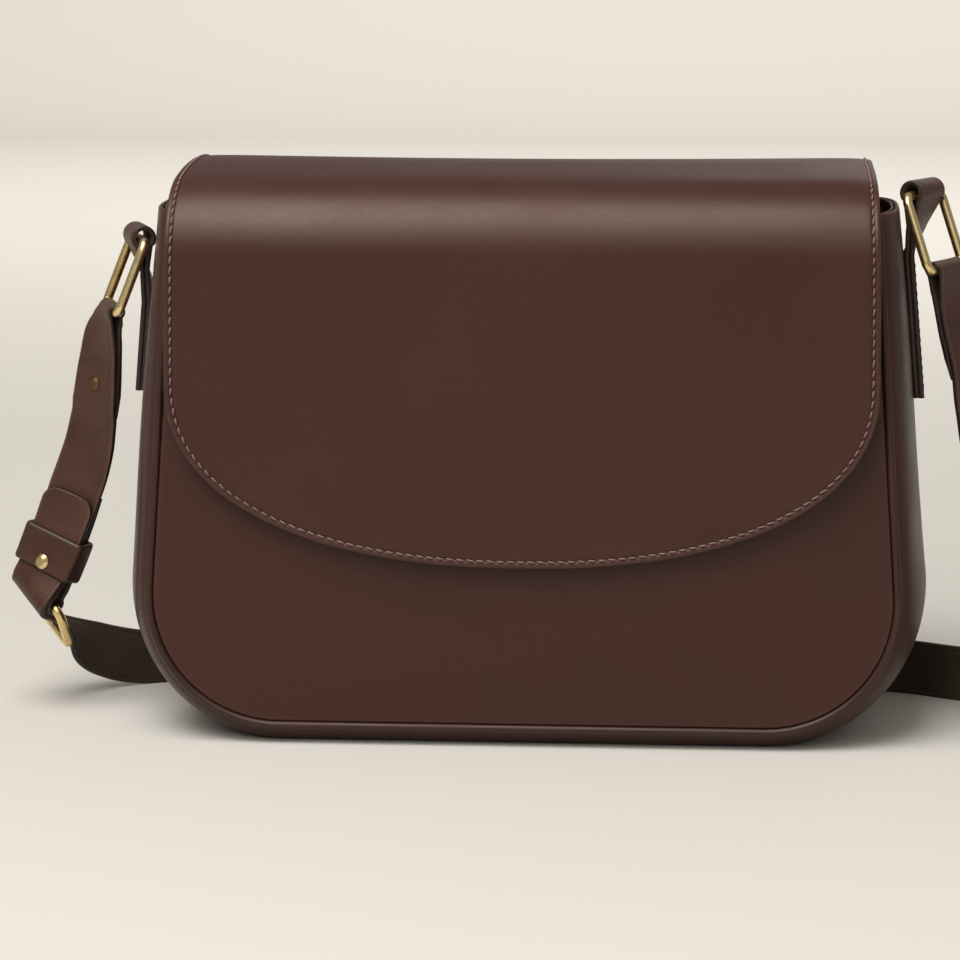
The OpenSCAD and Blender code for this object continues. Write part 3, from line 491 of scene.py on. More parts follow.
def drop_len(z):
    return BACK_LEN + ARCH_LEN + ROLL_LEN + (DROP_P[1] - z) / -DROP_DIR[1]


CROWN_LEN, FULL_LEN = BACK_LEN + ARCH_LEN / 2, drop_len(HEM_HIGH)


def flap_half_at(s):
    share = np.clip((np.asarray(s, float) - CROWN_LEN) / (FULL_LEN - CROWN_LEN), 0, 1)
    return lerp(FLAP_CROWN_HALF, FLAP_HALF, np.sin(share * math.pi / 2))


def hem_z(t):
    share = np.power(np.maximum(0, 1 - np.abs(t) ** HEM_POWER), 1 / HEM_POWER)
    return HEM_HIGH - (HEM_HIGH - HEM_LOW) * share


def flap_place(x, s, off):
    """Point of the flap, or of the strip below its hinge for negative lengths."""
    x, s, off = np.broadcast_arrays(np.asarray(x, float), np.asarray(s, float), np.asarray(off, float))
    p, normal = flap_profile(np.maximum(s, 0))
    front = smooth(BACK_LEN + ARCH_LEN + 10, drop_len(110), s)
    lift = waves(x, s, 0.6) * 0.9 * front * np.clip((FLAP_HALF + 6 - np.abs(x)) / 30, 0.15, 1)
    middle = np.cos(np.clip(x / FLAP_CROWN_HALF, -1, 1) * math.pi / 2)
    sag = -0.9 * smooth(4, 22, s) * (1 - smooth(46, 70, s)) * middle
    at_side = np.exp(-(FLAP_CROWN_HALF - np.abs(x)).clip(0) / 4.0)
    edge_drop = -0.7 * at_side * smooth(4, 20, s) * (1 - smooth(60, 90, s))
    half = flap_half_at(np.maximum(s, 0))
    above_hem = np.maximum(0, drop_len(hem_z(np.clip(x / half, -1, 1))) - s)
    curl = 1.1 * np.exp(-above_hem / 7.0) * front
    d = -off + lift + sag + edge_drop + curl
    y, z = p[:, 0] + normal[:, 0] * d, p[:, 1] + normal[:, 1] * d
    zs = HINGE_Z + np.minimum(s, 0)
    ys = panel_y(x, zs) + SHEET_GAP + LEATHER - off
    top = HINGE_Y + HINGE_R - off
    ys = lerp(ys, top, smooth(-9, 0, s))
    below = s < 0
    return np.column_stack([x, np.where(below, ys, y), np.where(below, zs, z)])


def flap_loop(low_s, inset=0.0):
    """Closed outline of the flap in width and length, from low_s at the back to the hem."""
    r = 5.0
    ts = np.sin(np.linspace(-math.pi / 2, math.pi / 2, 360))
    hem = [[t * float(flap_half_at(drop_len(hem_z(t)))), float(drop_len(hem_z(t)))] for t in ts]
    up = np.linspace(FULL_LEN, low_s + r, 160)[1:]
    right = [[float(flap_half_at(max(s, 0))), s] for s in up]
    w = right[-1][0]
    corner = [[w - r + r * math.cos(a), low_s + r - r * math.sin(a)]
              for a in np.linspace(0, math.pi / 2, 8)[1:]]
    bottom = [[x, low_s] for x in np.linspace(w - r, r - w, 120)[1:-1]]
    pts = np.array(hem + right + corner + bottom + [[-x, s] for x, s in corner[::-1]]
                   + [[-x, s] for x, s in right[::-1]])
    pts = pts[::-1]
    pts, _ = resample(pts, 0.8)
    return pts + inward(pts) * inset if inset else pts


# ---- straps: routes and frames
def spline(rows, steps):
    rows = np.asarray(rows, float)
    n, out = len(rows) - 1, []
    for i in range(n):
        a, b, c, d = rows[max(0, i - 1)], rows[i], rows[i + 1], rows[min(n, i + 2)]
        for k in range(steps):
            f = k / steps
            out.append((2 * b + (c - a) * f + (2 * a - 5 * b + 4 * c - d) * f * f
                        + (3 * b - a - 3 * c + d) * f ** 3) / 2)
    out.append(rows[n])
    return np.array(out)


def to_frames(line):
    out, n = [], len(line) - 1
    for i in range(n + 1):
        t = unit(line[min(n, i + 1)][:3] - line[max(0, i - 1)][:3])
        w = line[i][3:]
        across = unit(w - (w @ t) * t)
        out.append([line[i][:3], across, np.cross(t, across)])
    return out


# side, place of the tab's loop across and up, turn of the bar, and how far the ring hangs outwards
RINGS = {"left": (-1, 122.8, 154.0, math.radians(20), math.radians(22)),
         "right": (1, 122.2, 169.5, math.radians(28), math.radians(20))}


def bar_dir(v):
    return np.array([v[0] * math.sin(v[3]), math.cos(v[3]), 0])


def hang_dir(v):
    sin_t, cos_t = math.sin(v[4]), math.cos(v[4])
    return np.array([v[0] * sin_t * math.cos(v[3]), -sin_t * math.sin(v[3]), -cos_t])


def loop_centre(v):
    return np.array([v[0] * v[1], -TAB_FORWARD, v[2]])


def bar_low(v):
    return loop_centre(v) + (HOLLOW - WIRE - BAR_GAP) * hang_dir(v) + RING_H * hang_dir(v)


# routes as shares of the panel's width: place of the middle line, then the way across the strap;
# a height of 0 means that the strap stands on the floor
LEFT_SHARES = [
    [-0.5772, -0.0241, 0.5345, -0.64, 0.77, 0],
    [-0.5841, -0.0203, 0.4910, -0.76, 0.65, 0],
    [-0.5914, -0.0160, 0.4379, -0.84, 0.54, 0],
    [-0.5974, -0.0125, 0.4069, -0.88, 0.47, 0],
    [-0.6052, -0.0090, 0.3703, -0.93, 0.36, 0.05],
    [-0.6207, -0.0043, 0.3233, -0.95, 0.22, 0.22],
    [-0.6401, -0.0022, 0.2672, -0.87, 0.26, 0.40],
    [-0.6616, -0.0009, 0.2112, -0.75, 0.36, 0.54]]
RIGHT_SHARES = [
    [0.5750, -0.0259, 0.5650, 0.64, 0.77, 0],
    [0.5900, -0.0250, 0.5080, 0.68, 0.73, 0],
    [0.6034, -0.0259, 0.4440, 0.72, 0.69, 0.05],
    [0.6120, -0.0300, 0.3966, 0.74, 0.66, 0.12],
    [0.6293, -0.0517, 0.3190, 0.72, 0.60, 0.30],
    [0.6550, -0.0950, 0.2250, 0.60, 0.45, 0.60],
    [0.6950, -0.1550, 0.1330, 0.38, 0.28, 0.88],
    [0.7600, -0.2150, 0.0680, 0.15, 0.10, 0.98],
    [0.8400, -0.2480, 0, 0, 0, 1],
    [0.9300, -0.2380, 0, 0, 0, 1],
    [0.9950, -0.1800, 0, 0, 0, 1],
    [1.0050, -0.0950, 0, 0, 0, 1],
    [0.9500, -0.0150, 0, 0, 0, 1],
    [0.8600, 0.0350, 0, 0, 0, 1],
    [0.7300, 0.0850, 0, 0, 0, 1],
    [0.6000, 0.1450, 0, 0, 0, 1],
    [0.5000, 0.1950, 0, 0, 0, 1],
    [0.3600, 0.2050, 0, 0, 0, 1],
    [0, 0.2110, 0, 0, 0, 1],
    [-0.3400, 0.2070, 0, 0, 0, 1],
    [-0.4900, 0.1950, 0, 0, 0, 1],
    [-0.5733, 0.1680, 0.0405, -0.08, 0.04, 1],
    [-0.6250, 0.1290, 0.0600, -0.28, 0.20, 0.94],
    [-0.6560, 0.0930, 0.0850, -0.46, 0.40, 0.80]]
HEEL = np.array([-0.6784, -0.0039, 0.1724]) * PANEL_W
BUCKLE_LONG = unit([-0.01, 0.74, -0.67])
BUCKLE_AIM = np.array([-0.62, 0.46, 0.63])
BUCKLE_WIDE = unit(BUCKLE_AIM - (BUCKLE_AIM @ BUCKLE_LONG) * BUCKLE_LONG)
BUCKLE_FACE = np.cross(BUCKLE_WIDE, BUCKLE_LONG)
CAD_STEPS, FINE = 4, 10
KEEPER_ROW = 8 * CAD_STEPS
UNDER_OFF = WIRE + TONGUE_GAP + STRAP_T / 2
OVER_OFF = WIRE + BAR_GAP + FOLD_T + TONGUE_GAP + STRAP_T / 2
TONGUE_LIFT = STRAP_T + TONGUE_GAP + STRAP_T / 2


def placed(rows):
    out = []
    for r in rows:
        z = r[2] * PANEL_W if r[2] else STRAP_W / 2
        out.append([r[0] * PANEL_W, r[1] * PANEL_W, z, *r[3:]])
    return out


LEFT_ROUTE = np.array([[*bar_low(RINGS["left"]), *bar_dir(RINGS["left"])]] + placed(LEFT_SHARES)
                      + [[*HEEL, *BUCKLE_WIDE]])
LEFT_CAD = to_frames(spline(LEFT_ROUTE, CAD_STEPS))
LEFT_FINE = to_frames(spline(LEFT_ROUTE, FINE))
RIGHT_ROUTE = np.array([[*bar_low(RINGS["right"]), *bar_dir(RINGS["right"])]] + placed(RIGHT_SHARES)
                       + [[*(HEEL + BUCKLE_H * BUCKLE_LONG - UNDER_OFF * BUCKLE_FACE), *BUCKLE_WIDE]])
RIGHT_FINE = to_frames(spline(RIGHT_ROUTE, FINE))
KEEPER_AT = LEFT_CAD[KEEPER_ROW]
FRONT_SIGN = 1 if KEEPER_AT[2][1] < 0 else -1


def by_heel(down, off):
    return [*(HEEL + down * BUCKLE_LONG + off * BUCKLE_FACE), *BUCKLE_WIDE]


def round_heel(a):
    return by_heel(-OVER_OFF * math.sin(a), OVER_OFF * math.cos(a))


def over_strap(i, lift):
    f = LEFT_CAD[i]
    return [*(f[0] + lift * FRONT_SIGN * f[2]), *f[1]]


FOLD_TURN = math.acos(float(BUCKLE_FACE @ (FRONT_SIGN * LEFT_CAD[-1][2])))
TONGUE = ([by_heel(BUCKLE_H * 0.42, OVER_OFF * 0.1)] + [round_heel(math.radians(a)) for a in (-35, 8)]
          + [round_heel(FOLD_TURN)]
          + [over_strap(KEEPER_ROW + 1 - 2 * i, TONGUE_LIFT + (SEAM_GAP if i else SHEET_GAP))
             for i in range(5)])
LONG_ROUTE = np.array([list(r) for r in RIGHT_ROUTE[RIGHT_CUT:]] + TONGUE)


def resting(f):
    return [np.array([f[0][0], f[0][1], max(f[0][2], abs(f[1][2]) * STRAP_W / 2)]), f[1], f[2]]


LONG_FINE = [resting(f) for f in to_frames(spline(LONG_ROUTE, FINE))]
LONG_FINE[:FINE] = RIGHT_FINE[RIGHT_CUT * FINE:(RIGHT_CUT + 1) * FINE]


# ---- materials
def srgb(r, g, b):
    def lin(c):
        c /= 255
        return c / 12.92 if c <= 0.04045 else ((c + 0.055) / 1.055) ** 2.4
    return (lin(r), lin(g), lin(b), 1)


class Nodes:
    """Small helper for building node trees."""

    def __init__(self, name):
        self.mat = bpy.data.materials.new(name)
        self.mat.use_nodes = True
        self.tree = self.mat.node_tree
        self.shader = next(n for n in self.tree.nodes if n.type == "BSDF_PRINCIPLED")

    def fill(self, node, sockets):
        """Sets inputs to numbers or colours, or links them to other nodes' outputs."""
        for key, value in sockets.items():
            if isinstance(value, bpy.types.NodeSocket):
                self.tree.links.new(value, node.inputs[key])
            elif value is not None:
                node.inputs[key].default_value = value

    def add(self, kind, out, sockets=None, **settings):
        """Makes a node and gives one of its outputs."""
        node = self.tree.nodes.new(kind)
        for key, value in settings.items():
            setattr(node, key, value)
        self.fill(node, sockets or {})
        return node.outputs[out]

    def coords(self, how):
        return self.add("ShaderNodeTexCoord", how)

    def noise(self, vector, scale, detail=3.0, rough=0.5, distortion=0.0):
        return self.add("ShaderNodeTexNoise", "Fac", {
            "Scale": scale, "Detail": detail, "Roughness": rough, "Distortion": distortion, "Vector": vector})

    def cells(self, vector, scale):
        return self.add("ShaderNodeTexVoronoi", "Distance", {"Scale": scale, "Vector": vector},
                        feature="SMOOTH_F1")

    def ribs(self, vector, scale, distortion, detail=None):
        return self.add("ShaderNodeTexWave", "Fac", {
            "Scale": scale, "Distortion": distortion, "Detail": detail, "Vector": vector},
            wave_type="BANDS", bands_direction="DIAGONAL")

    def stretch(self, vector, scale):
        return self.add("ShaderNodeMapping", "Vector", {"Scale": scale, "Vector": vector})

    def span(self, value, a, b, low, high):
        return self.add("ShaderNodeMapRange", "Result", {
            "From Min": a, "From Max": b, "To Min": low, "To Max": high, "Value": value},
            interpolation_type="SMOOTHSTEP")

    def mix(self, factor, a, b):
        return self.add("ShaderNodeMix", 2, {6: a, 7: b, "Factor": factor}, data_type="RGBA")

    def tone(self, value, a, b, top, first, second):
        """From the first colour to the second as value goes from a to b, up to the share top."""
        return self.mix(self.span(value, a, b, 0.0, top), first, second)

    def math(self, how, a, b):
        return self.add("ShaderNodeMath", 0, {0: a, 1: b}, operation=how)

    def bump(self, height, distance, strength, below=None):
        return self.add("ShaderNodeBump", "Normal", {
            "Distance": distance, "Strength": strength, "Height": height, "Normal": below})

    def wear(self):
        return self.add("ShaderNodeAttribute", "Fac", attribute_type="GEOMETRY", attribute_name="wear")

    def finish(self, colour, rough, normal, **numbers):
        self.fill(self.shader, {"Base Color": colour, "Roughness": rough, "Normal": normal})
        self.fill(self.shader, {key.replace("_", " "): value for key, value in numbers.items()})
        return self.mat


def leather(name, base, dark, light, rough=(0.36, 0.50), worn=0.35, patch=15.0):
    """Smooth finished leather: slow tone changes, fine pores, faint creases and lighter rubbed edges."""
    n = Nodes(name)
    at = n.coords("UV")
    slow = n.noise(at, patch, 3.0, 0.55, 0.4)
    fine = n.noise(at, 420.0, 4.0, 0.6)
    pores = n.cells(at, 1450.0)
    creases = n.noise(n.stretch(at, (1.0, 1.6, 1.0)), 150.0, 5.0, 0.62, 0.8)
    colour = n.tone(slow, 0.32, 0.68, 1.0, dark, base)
    colour = n.mix(n.math("MULTIPLY", n.span(fine, 0.5, 0.8, 0.0, 1.0), 0.10), colour, light)
    colour = n.tone(pores, 0.55, 0.95, 0.22, colour, dark)
    colour = n.mix(n.math("MULTIPLY", n.span(n.wear(), 0.25, 0.9, 0.0, 1.0), worn), colour, light)
    r = n.math("ADD", n.span(slow, 0.3, 0.7, rough[0], rough[1]), n.span(fine, 0.3, 0.7, -0.02, 0.02))
    normal = n.bump(creases, 0.00012, 0.22)
    normal = n.bump(pores, 0.00005, 0.30, normal)
    return n.finish(colour, r, normal, Specular_IOR_Level=0.48, IOR=1.5,
                    Specular_Tint=(1.0, 0.82, 0.74, 1.0))


def flesh_side(name, base, dark):
    """The unfinished back of leather: matt, fibrous."""
    n = Nodes(name)
    at = n.coords("UV")
    fibre = n.noise(n.stretch(at, (1.0, 0.35, 1.0)), 1100.0, 6.0, 0.7, 0.6)
    slow = n.noise(at, 30.0, 3.0)
    colour = n.tone(slow, 0.3, 0.7, 1.0, base, dark)
    colour = n.tone(fibre, 0.35, 0.75, 0.6, colour, dark)
    normal = n.bump(fibre, 0.00012, 0.5)
    return n.finish(colour, n.span(fibre, 0.3, 0.7, 0.62, 0.82), normal, Specular_IOR_Level=0.35)


def edge_paint(name, base, light):
    """Painted and burnished leather edge."""
    n = Nodes(name)
    at = n.coords("UV")
    slow = n.noise(at, 160.0, 4.0)
    fine = n.noise(at, 1500.0, 4.0)
    colour = n.tone(slow, 0.45, 0.8, 0.7, base, light)
    normal = n.bump(fine, 0.00004, 0.4)
    return n.finish(colour, n.span(slow, 0.3, 0.7, 0.36, 0.52), normal)


def thread(name, base, dark):
    """Twisted waxed thread."""
    n = Nodes(name)
    twist = n.ribs(n.coords("UV"), 750.0, 0.6)
    shade = n.noise(n.coords("Object"), 60.0, 3.0)
    colour = n.tone(twist, 0.1, 0.7, 1.0, dark, base)
    colour = n.tone(shade, 0.35, 0.7, 0.4, colour, dark)
    normal = n.bump(twist, 0.00008, 0.5)
    return n.finish(colour, n.span(shade, 0.3, 0.7, 0.5, 0.66), normal)


def twill(name, base, dark, light):
    """Cotton twill lining, with diagonal ribs."""
    n = Nodes(name)
    at = n.coords("UV")
    ribs = n.ribs(at, 480.0, 1.2, 2.0)
    yarn = n.noise(n.stretch(at, (1.0, 3.0, 1.0)), 1600.0, 3.0)
    slow = n.noise(at, 22.0, 3.0)
    colour = n.tone(ribs, 0.15, 0.8, 1.0, dark, base)
    colour = n.tone(yarn, 0.5, 0.8, 0.5, colour, light)
    colour = n.tone(slow, 0.4, 0.75, 0.35, colour, dark)
    normal = n.bump(n.math("ADD", ribs, yarn), 0.00012, 0.5)
    return n.finish(colour, n.span(yarn, 0.3, 0.7, 0.78, 0.92), normal, Sheen_Weight=0.2,
                    Sheen_Roughness=0.5)


def metal(name, base, dark, light, rough):
    """Polished plated metal with a faint haze and hairline scratches."""
    n = Nodes(name)
    at = n.coords("Object")
    haze = n.noise(at, 240.0, 4.0, 0.6)
    slow = n.noise(at, 45.0, 3.0)
    lines = n.noise(n.stretch(at, (1.0, 1.0, 9.0)), 900.0, 5.0, 0.7)
    colour = n.tone(slow, 0.35, 0.7, 0.8, base, light)
    colour = n.tone(haze, 0.55, 0.8, 0.5, colour, dark)
    r = n.math("ADD", n.span(haze, 0.3, 0.75, rough[0], rough[1]), n.span(lines, 0.5, 0.8, 0.0, 0.06))
    normal = n.bump(lines, 0.00002, 0.25)
    return n.finish(colour, r, normal, Metallic=1.0)


MATS = {}


def build_materials():
    brown = {"leather": ("leather_smooth", (65, 35, 29), (61, 33, 27), (94, 62, 52), {}),
             "flap": ("leather_flap", (66, 36, 31), (63, 34, 29), (100, 68, 58), {"rough": (0.38, 0.47)}),
             "strap": ("leather_strap", (84, 54, 44), (66, 41, 34), (122, 88, 74),
                       {"rough": (0.38, 0.52), "worn": 0.55, "patch": 40.0}),
             "piping": ("leather_piping", (62, 38, 33), (50, 30, 26), (98, 68, 60),
                        {"patch": 40.0, "worn": 0.0})}
    for key, (name, base, dark, light, how) in brown.items():
        MATS[key] = leather(name, srgb(*base), srgb(*dark), srgb(*light), **how)
    for key, make, name, base, other in (
            ("edge", edge_paint, "edge_paint", (42, 26, 22), (70, 46, 39)),
            # the flap's edge paint is a lighter copy of the other edges' paint: partly its own colour, partly
            # a painted highlight on the lit rim
            ("hem_edge", edge_paint, "hem_edge_paint_and_highlight", (52, 32, 27), (96, 68, 60)),
            ("flesh", flesh_side, "leather_back", (84, 70, 55), (62, 51, 40)),
            ("suede", flesh_side, "flap_lining_suede", (84, 62, 50), (66, 47, 38)),
            ("thread", thread, "thread_brown", (150, 120, 110), (112, 86, 78)),
            ("thread_dark", thread, "thread_dark", (88, 60, 52), (60, 40, 34))):
        MATS[key] = make(name, srgb(*base), srgb(*other))
    MATS["twill"] = twill("lining_twill", srgb(142, 114, 90), srgb(112, 86, 66), srgb(168, 142, 116))
    for name, base, dark, light, rough in (
            ("dark_brass", (96, 72, 48), (58, 42, 30), (130, 100, 66), (0.3, 0.45)),
            ("brass", (232, 204, 142), (196, 156, 92), (246, 226, 176), (0.22, 0.34)),
            ("steel", (176, 174, 170), (130, 128, 124), (204, 202, 198), (0.28, 0.42))):
        MATS[name] = metal(name, srgb(*base), srgb(*dark), srgb(*light), rough)


# ---- pieces
def piece(name, parts, mats, stands_for="", body="bag", flip=False):
    """A visible piece; body is what it rides on. A tuple (from, to, start, end) in its place is not used: the
    piece then rides on no body.
    """
    verts, faces, indices, uvs, wear = parts
    if flip:
        faces = [f[::-1] for f in faces]
    obj = mesh_object(name, verts, faces, [MATS[m] for m in mats.split()], indices, uvs, wear)
    if isinstance(body, str):
        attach(obj, body)
    else:
        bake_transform(obj)
    if stands_for:
        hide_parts(*stands_for.split())
    return obj


def sew(name, line, place, mats="thread_dark", body="bag", **how):
    piece(name, stitches(line, place, **how), mats, body=body)


def level(start, end, z):
    """Closely spaced flat points on a level line."""
    xs = np.arange(start, end, 0.5)
    return np.column_stack([xs, np.full(len(xs), z)])


def declare_sheet(loop):
    loop = np.asarray(loop, float)


def build_panels():
    for side, facing in (("front", -1), ("back", 1)):
        place, back = panel_place(facing), facing > 0

        def behind(x, z, off, place=place):
            return place(x, z, off + LAYER_GAP)

        parts = fan_sheet(panel_loop(LAYER_GAP), place, LEATHER, low_gap=50, high_gap=50)
        piece(side + "_panel_leather", parts, "leather flesh edge", side + "_panel", flip=back)
        # the facing's grain side is the one seen from inside the bag
        loop = panel_loop(LAYER_GAP + SEAM_GAP, low=PANEL_H - FACING_H)
        parts = fan_sheet(loop, behind, LINING, seam=0.15, low_gap=90, high_gap=90, narrow=True)
        piece(side + "_facing_leather", parts, "flesh leather edge", side + "_facing", flip=back)
        loop = panel_loop(LAYER_GAP + SEAM_GAP, top=PANEL_H - FACING_H - SEAM_GAP, round_top=0.5)
        parts = fan_sheet(loop, behind, LINING, low_gap=50, high_gap=50)
        obj = piece(side + "_lining_cloth", parts, "twill twill twill", side + "_lining",
                    flip=back)
        declare_sheet(loop)
        # stitches along the front's mouth, and where each facing meets its lining
        half = SIDE_X0 - 14
        if not back:
            sew("front_mouth_stitches", level(-half, half, PANEL_H - 3.0),
                lambda x, z, o: place(x, z, o * 0.5))
        sew(side + "_facing_stitches", level(-half, half, PANEL_H - FACING_H + 2.2),
            lambda x, z, o: place(x, z, LAYER_GAP + LINING - o * 0.6))


def build_gusset():
    parts = gusset_sheet(0, LAYER_GAP, LEATHER, LAYER_GAP)
    piece("gusset_leather", parts, "leather flesh edge", "gusset")
    inset, edge = LEATHER + SHEET_GAP, LAYER_GAP + LEATHER * 0.7 + SHEET_GAP
    verts, faces, _, uvs, wear = gusset_sheet(inset, edge, LINING, edge, rows=150, cols=24)
    # leather near the mouth, cloth below
    kinds = [1 if np.mean([verts[i][2] for i in face]) > PANEL_H - FACING_H else 0 for face in faces]
    parts = (verts, faces, kinds, uvs, wear)
    piece("gusset_lining_cloth", parts, "twill leather", "gusset_lining")


def build_piping():
    """A rolled bead along each panel's edge, its skin gathered very slightly round the corners."""
    for side, facing in (("front", -1), ("back", 1)):
        line, radius = [], []
        for d in np.linspace(-HALF_LEN + 0.4, HALF_LEN - 0.4, 460):
            x, z, nx, nz, share = station(d)
            line.append([x - nx * BEAD_IN, facing * (half_depth(z) - BEAD_BACK), z - nz * BEAD_IN])
            bend = smooth(0.02, 0.2, share) * (1 - smooth(0.8, 0.98, share))
            taper = min(1, 0.45 + (HALF_LEN - abs(d)) * 0.6)
            radius.append(BEAD_R * taper + 0.035 * bend * math.sin(d * 2 * math.pi / 2.6))
        piece(side + "_piping_bead", tube(line, radius, sides=18), "piping", side + "_piping")


def pocket_place(x, z, off):
    """Point of the slip pocket, which stands off the back lining a little more towards its mouth."""
    share = np.clip((z - POCKET_LOW) / (POCKET_TOP - POCKET_LOW), 0, 1)
    c = np.clip(x / POCKET_HALF, -1, 1)
    swell = POCKET_SWELL * (1 - c ** 4) * np.sin(share * math.pi / 2)
    y = panel_place(1)(x, z, 0)[:, 1] - (LAYER_GAP + LINING + SEAM_GAP) - swell
    hem = 0.35 * smooth(POCKET_HEM, POCKET_HEM + 1.5, z)
    return np.column_stack([x, y - (LINING - off) - hem, z])


def build_inside():
    w, low, top = POCKET_HALF, POCKET_LOW, POCKET_TOP
    loop = [[-w, low + 2], [2 - w, low], [w - 2, low], [w, low + 2],
            [w, top - 1], [w - 1, top], [1 - w, top], [-w, top - 1]]
    dense = np.vstack([np.linspace(loop[k], loop[(k + 1) % 8], 60, endpoint=False) for k in range(8)])
    parts = fan_sheet(dense, pocket_place, LINING, seam=0.1, back_seam=0.12, low_gap=34, high_gap=34)
    obj = piece("slip_pocket_cloth", parts, "twill twill twill", "slip_pocket", flip=True)
    declare_sheet(dense)
    side, seam_low = w - 2.5, low + 2.5
    u_line = ([[-side, z] for z in np.arange(top - 4, seam_low, -0.5)]
              + [[x, seam_low] for x in np.arange(-side, side + 0.1, 0.5)]
              + [[side, z] for z in np.arange(seam_low, top - 3.9, 0.5)])
    for name, line in (("seam", np.array(u_line)), ("hem", level(2 - w, w - 1.9, POCKET_HEM))):
        sew(f"pocket_{name}_stitches", line, lambda x, z, o: pocket_place(x, z, o * 0.5))
    # base board in its cloth
    a, b, r = BOARD_HALF_L - BOARD_R, BOARD_HALF_W - BOARD_R, BOARD_R
    loop = [[cx + r * math.cos(math.radians(turn + q)), cy + r * math.sin(math.radians(turn + q))]
            for cx, cy, turn in ((a, -b, -90), (a, b, 0), (-a, b, 90), (-a, -b, 180))
            for q in range(0, 91, 6)]
    top = LEATHER + SHEET_GAP + LINING + SEAM_GAP + BOARD_T
    parts = fan_sheet(loop, lambda x, y, off: np.column_stack([x, y, top - off]), BOARD_T,
                      low_gap=20, high_gap=20, narrow=True, step=2.5)
    piece("base_board_cloth", parts, "twill twill twill", "base_board")


def build_flap():
    bend = ("bag", "flap", (0, 0.0350, 0.1650), (0, 0.0275, 0.1675))
    low = -STRIP_H - HINGE_R - SHEET_GAP
    parts = fan_sheet(flap_loop(low), flap_place, LEATHER, seam=0.3, low_gap=60, high_gap=80, rim=0.56,
                      step=1.5, fill=44)
    piece("flap_leather", parts, "flap flesh hem_edge", "flap_outer flap_seam_strip", bend,
          flip=True)
    sew("flap_stitches", flap_loop(low, STITCH_INSET), flap_place, "thread", bend, closed=True)
    low, under, thick = 9.0, LEATHER + 0.06, 1.0
    parts = fan_sheet(flap_loop(low), lambda x, s, o: flap_place(x, s, o + under), thick, back_seam=0.2,
                      low_gap=60, high_gap=80, rim=0.56)
    piece("flap_lining_leather", parts, "suede suede hem_edge", "flap_lining", "flap", flip=True)
    sew("flap_lining_stitches", flap_loop(low, STITCH_INSET),
        lambda x, s, o: flap_place(x, s, under + thick - o), body="flap", closed=True)


def grain_out(face, outward):
    """Material slots that put the grain side where it faces outward."""
    return (0, 1, 2) if face @ outward > 0 else (1, 0, 2)


def build_tabs():
    """Each tab is one strip: up the gusset, round the ring's bar and down behind itself."""
    for side, v in RINGS.items():
        c, bd = loop_centre(v), bar_dir(v)
        off = SEAM_GAP + TAB_T
        neck_z = v[2] - HOLLOW - TAB_T - NECK

        def outwards(across, v=v):
            face = unit(np.cross(across, [0, 0, 1]))
            return -face if face[0] * v[0] < 0 else face

        def crown_x(z):
            x = SIDE_X0 - (z - SIDE_Z0) * math.tan(LEAN)
            return x + lerp(SIDE_CROWN_LOW, SIDE_CROWN_TOP, z / PANEL_H)

        flat = [np.array([v[0] * (crown_x(z) + off), -TAB_FORWARD, z, 0, 1, 0])
                for z in np.linspace(TAB_LOW, neck_z, 14)]
        end = c - [0, 0, HOLLOW + TAB_T * 0.7]
        neck = [np.array([*lerp(flat[-1][:3], end, t), *unit(lerp(np.array([0, 1, 0]), bd, t))])
                for t in (0.17, 0.33, 0.5, 0.62)]
        up, down = ([[*(row[:3] + k * outwards(row[3:]) * TAB_T / 2), *row[3:]] for row in flat + neck]
                    for k in (1, -1))
        x_way, z_way = (HOLLOW + TAB_T / 2) * outwards(bd), (HOLLOW + TAB_T / 2) * np.array([0, 0, 1])
        circle = [[*(c + math.cos(a) * x_way + math.sin(a) * z_way), *bd]
                  for a in np.radians(np.arange(-48, 229, 12))]
        frames = to_frames(spline(np.array(up + circle + down[::-1]), 3))
        parts = sweep(frames, TAB_W, TAB_T, slots=grain_out(frames[3][2], np.array([v[0], 0, 0])))
        piece(side + "_tab_leather", parts, "strap flesh edge", side + "_tab")

        def on_tab(a, z, o, v=v):
            return np.column_stack([v[0] * (crown_x(z) + off + TAB_T - o), -TAB_FORWARD + a, z])

        w, top, low = TAB_W / 2 - 2.2, neck_z - 1.0, TAB_LOW + 2.2
        box = np.array([[-w, top]] + [[-w, z] for z in np.arange(top, low, -0.5)]
                       + [[a, low] for a in np.arange(-w, w, 0.5)]
                       + [[w, z] for z in np.arange(low, top, 0.5)] + [[w, top]])
        sew(side + "_tab_stitches", box, on_tab, proud=-0.16, sink=0.4, pitch=2.9, length=2.0)


def round_bar(bar, along, start, face, angles):
    """Rows of a fold about a bar, turned from the way that leads to start."""
    down = unit(start - bar)
    face = unit(face - (face @ down) * down)
    r = WIRE + BAR_GAP + FOLD_T / 2
    return [[*(bar + r * (math.cos(a) * face - math.sin(a) * down)), *along] for a in np.radians(angles)]


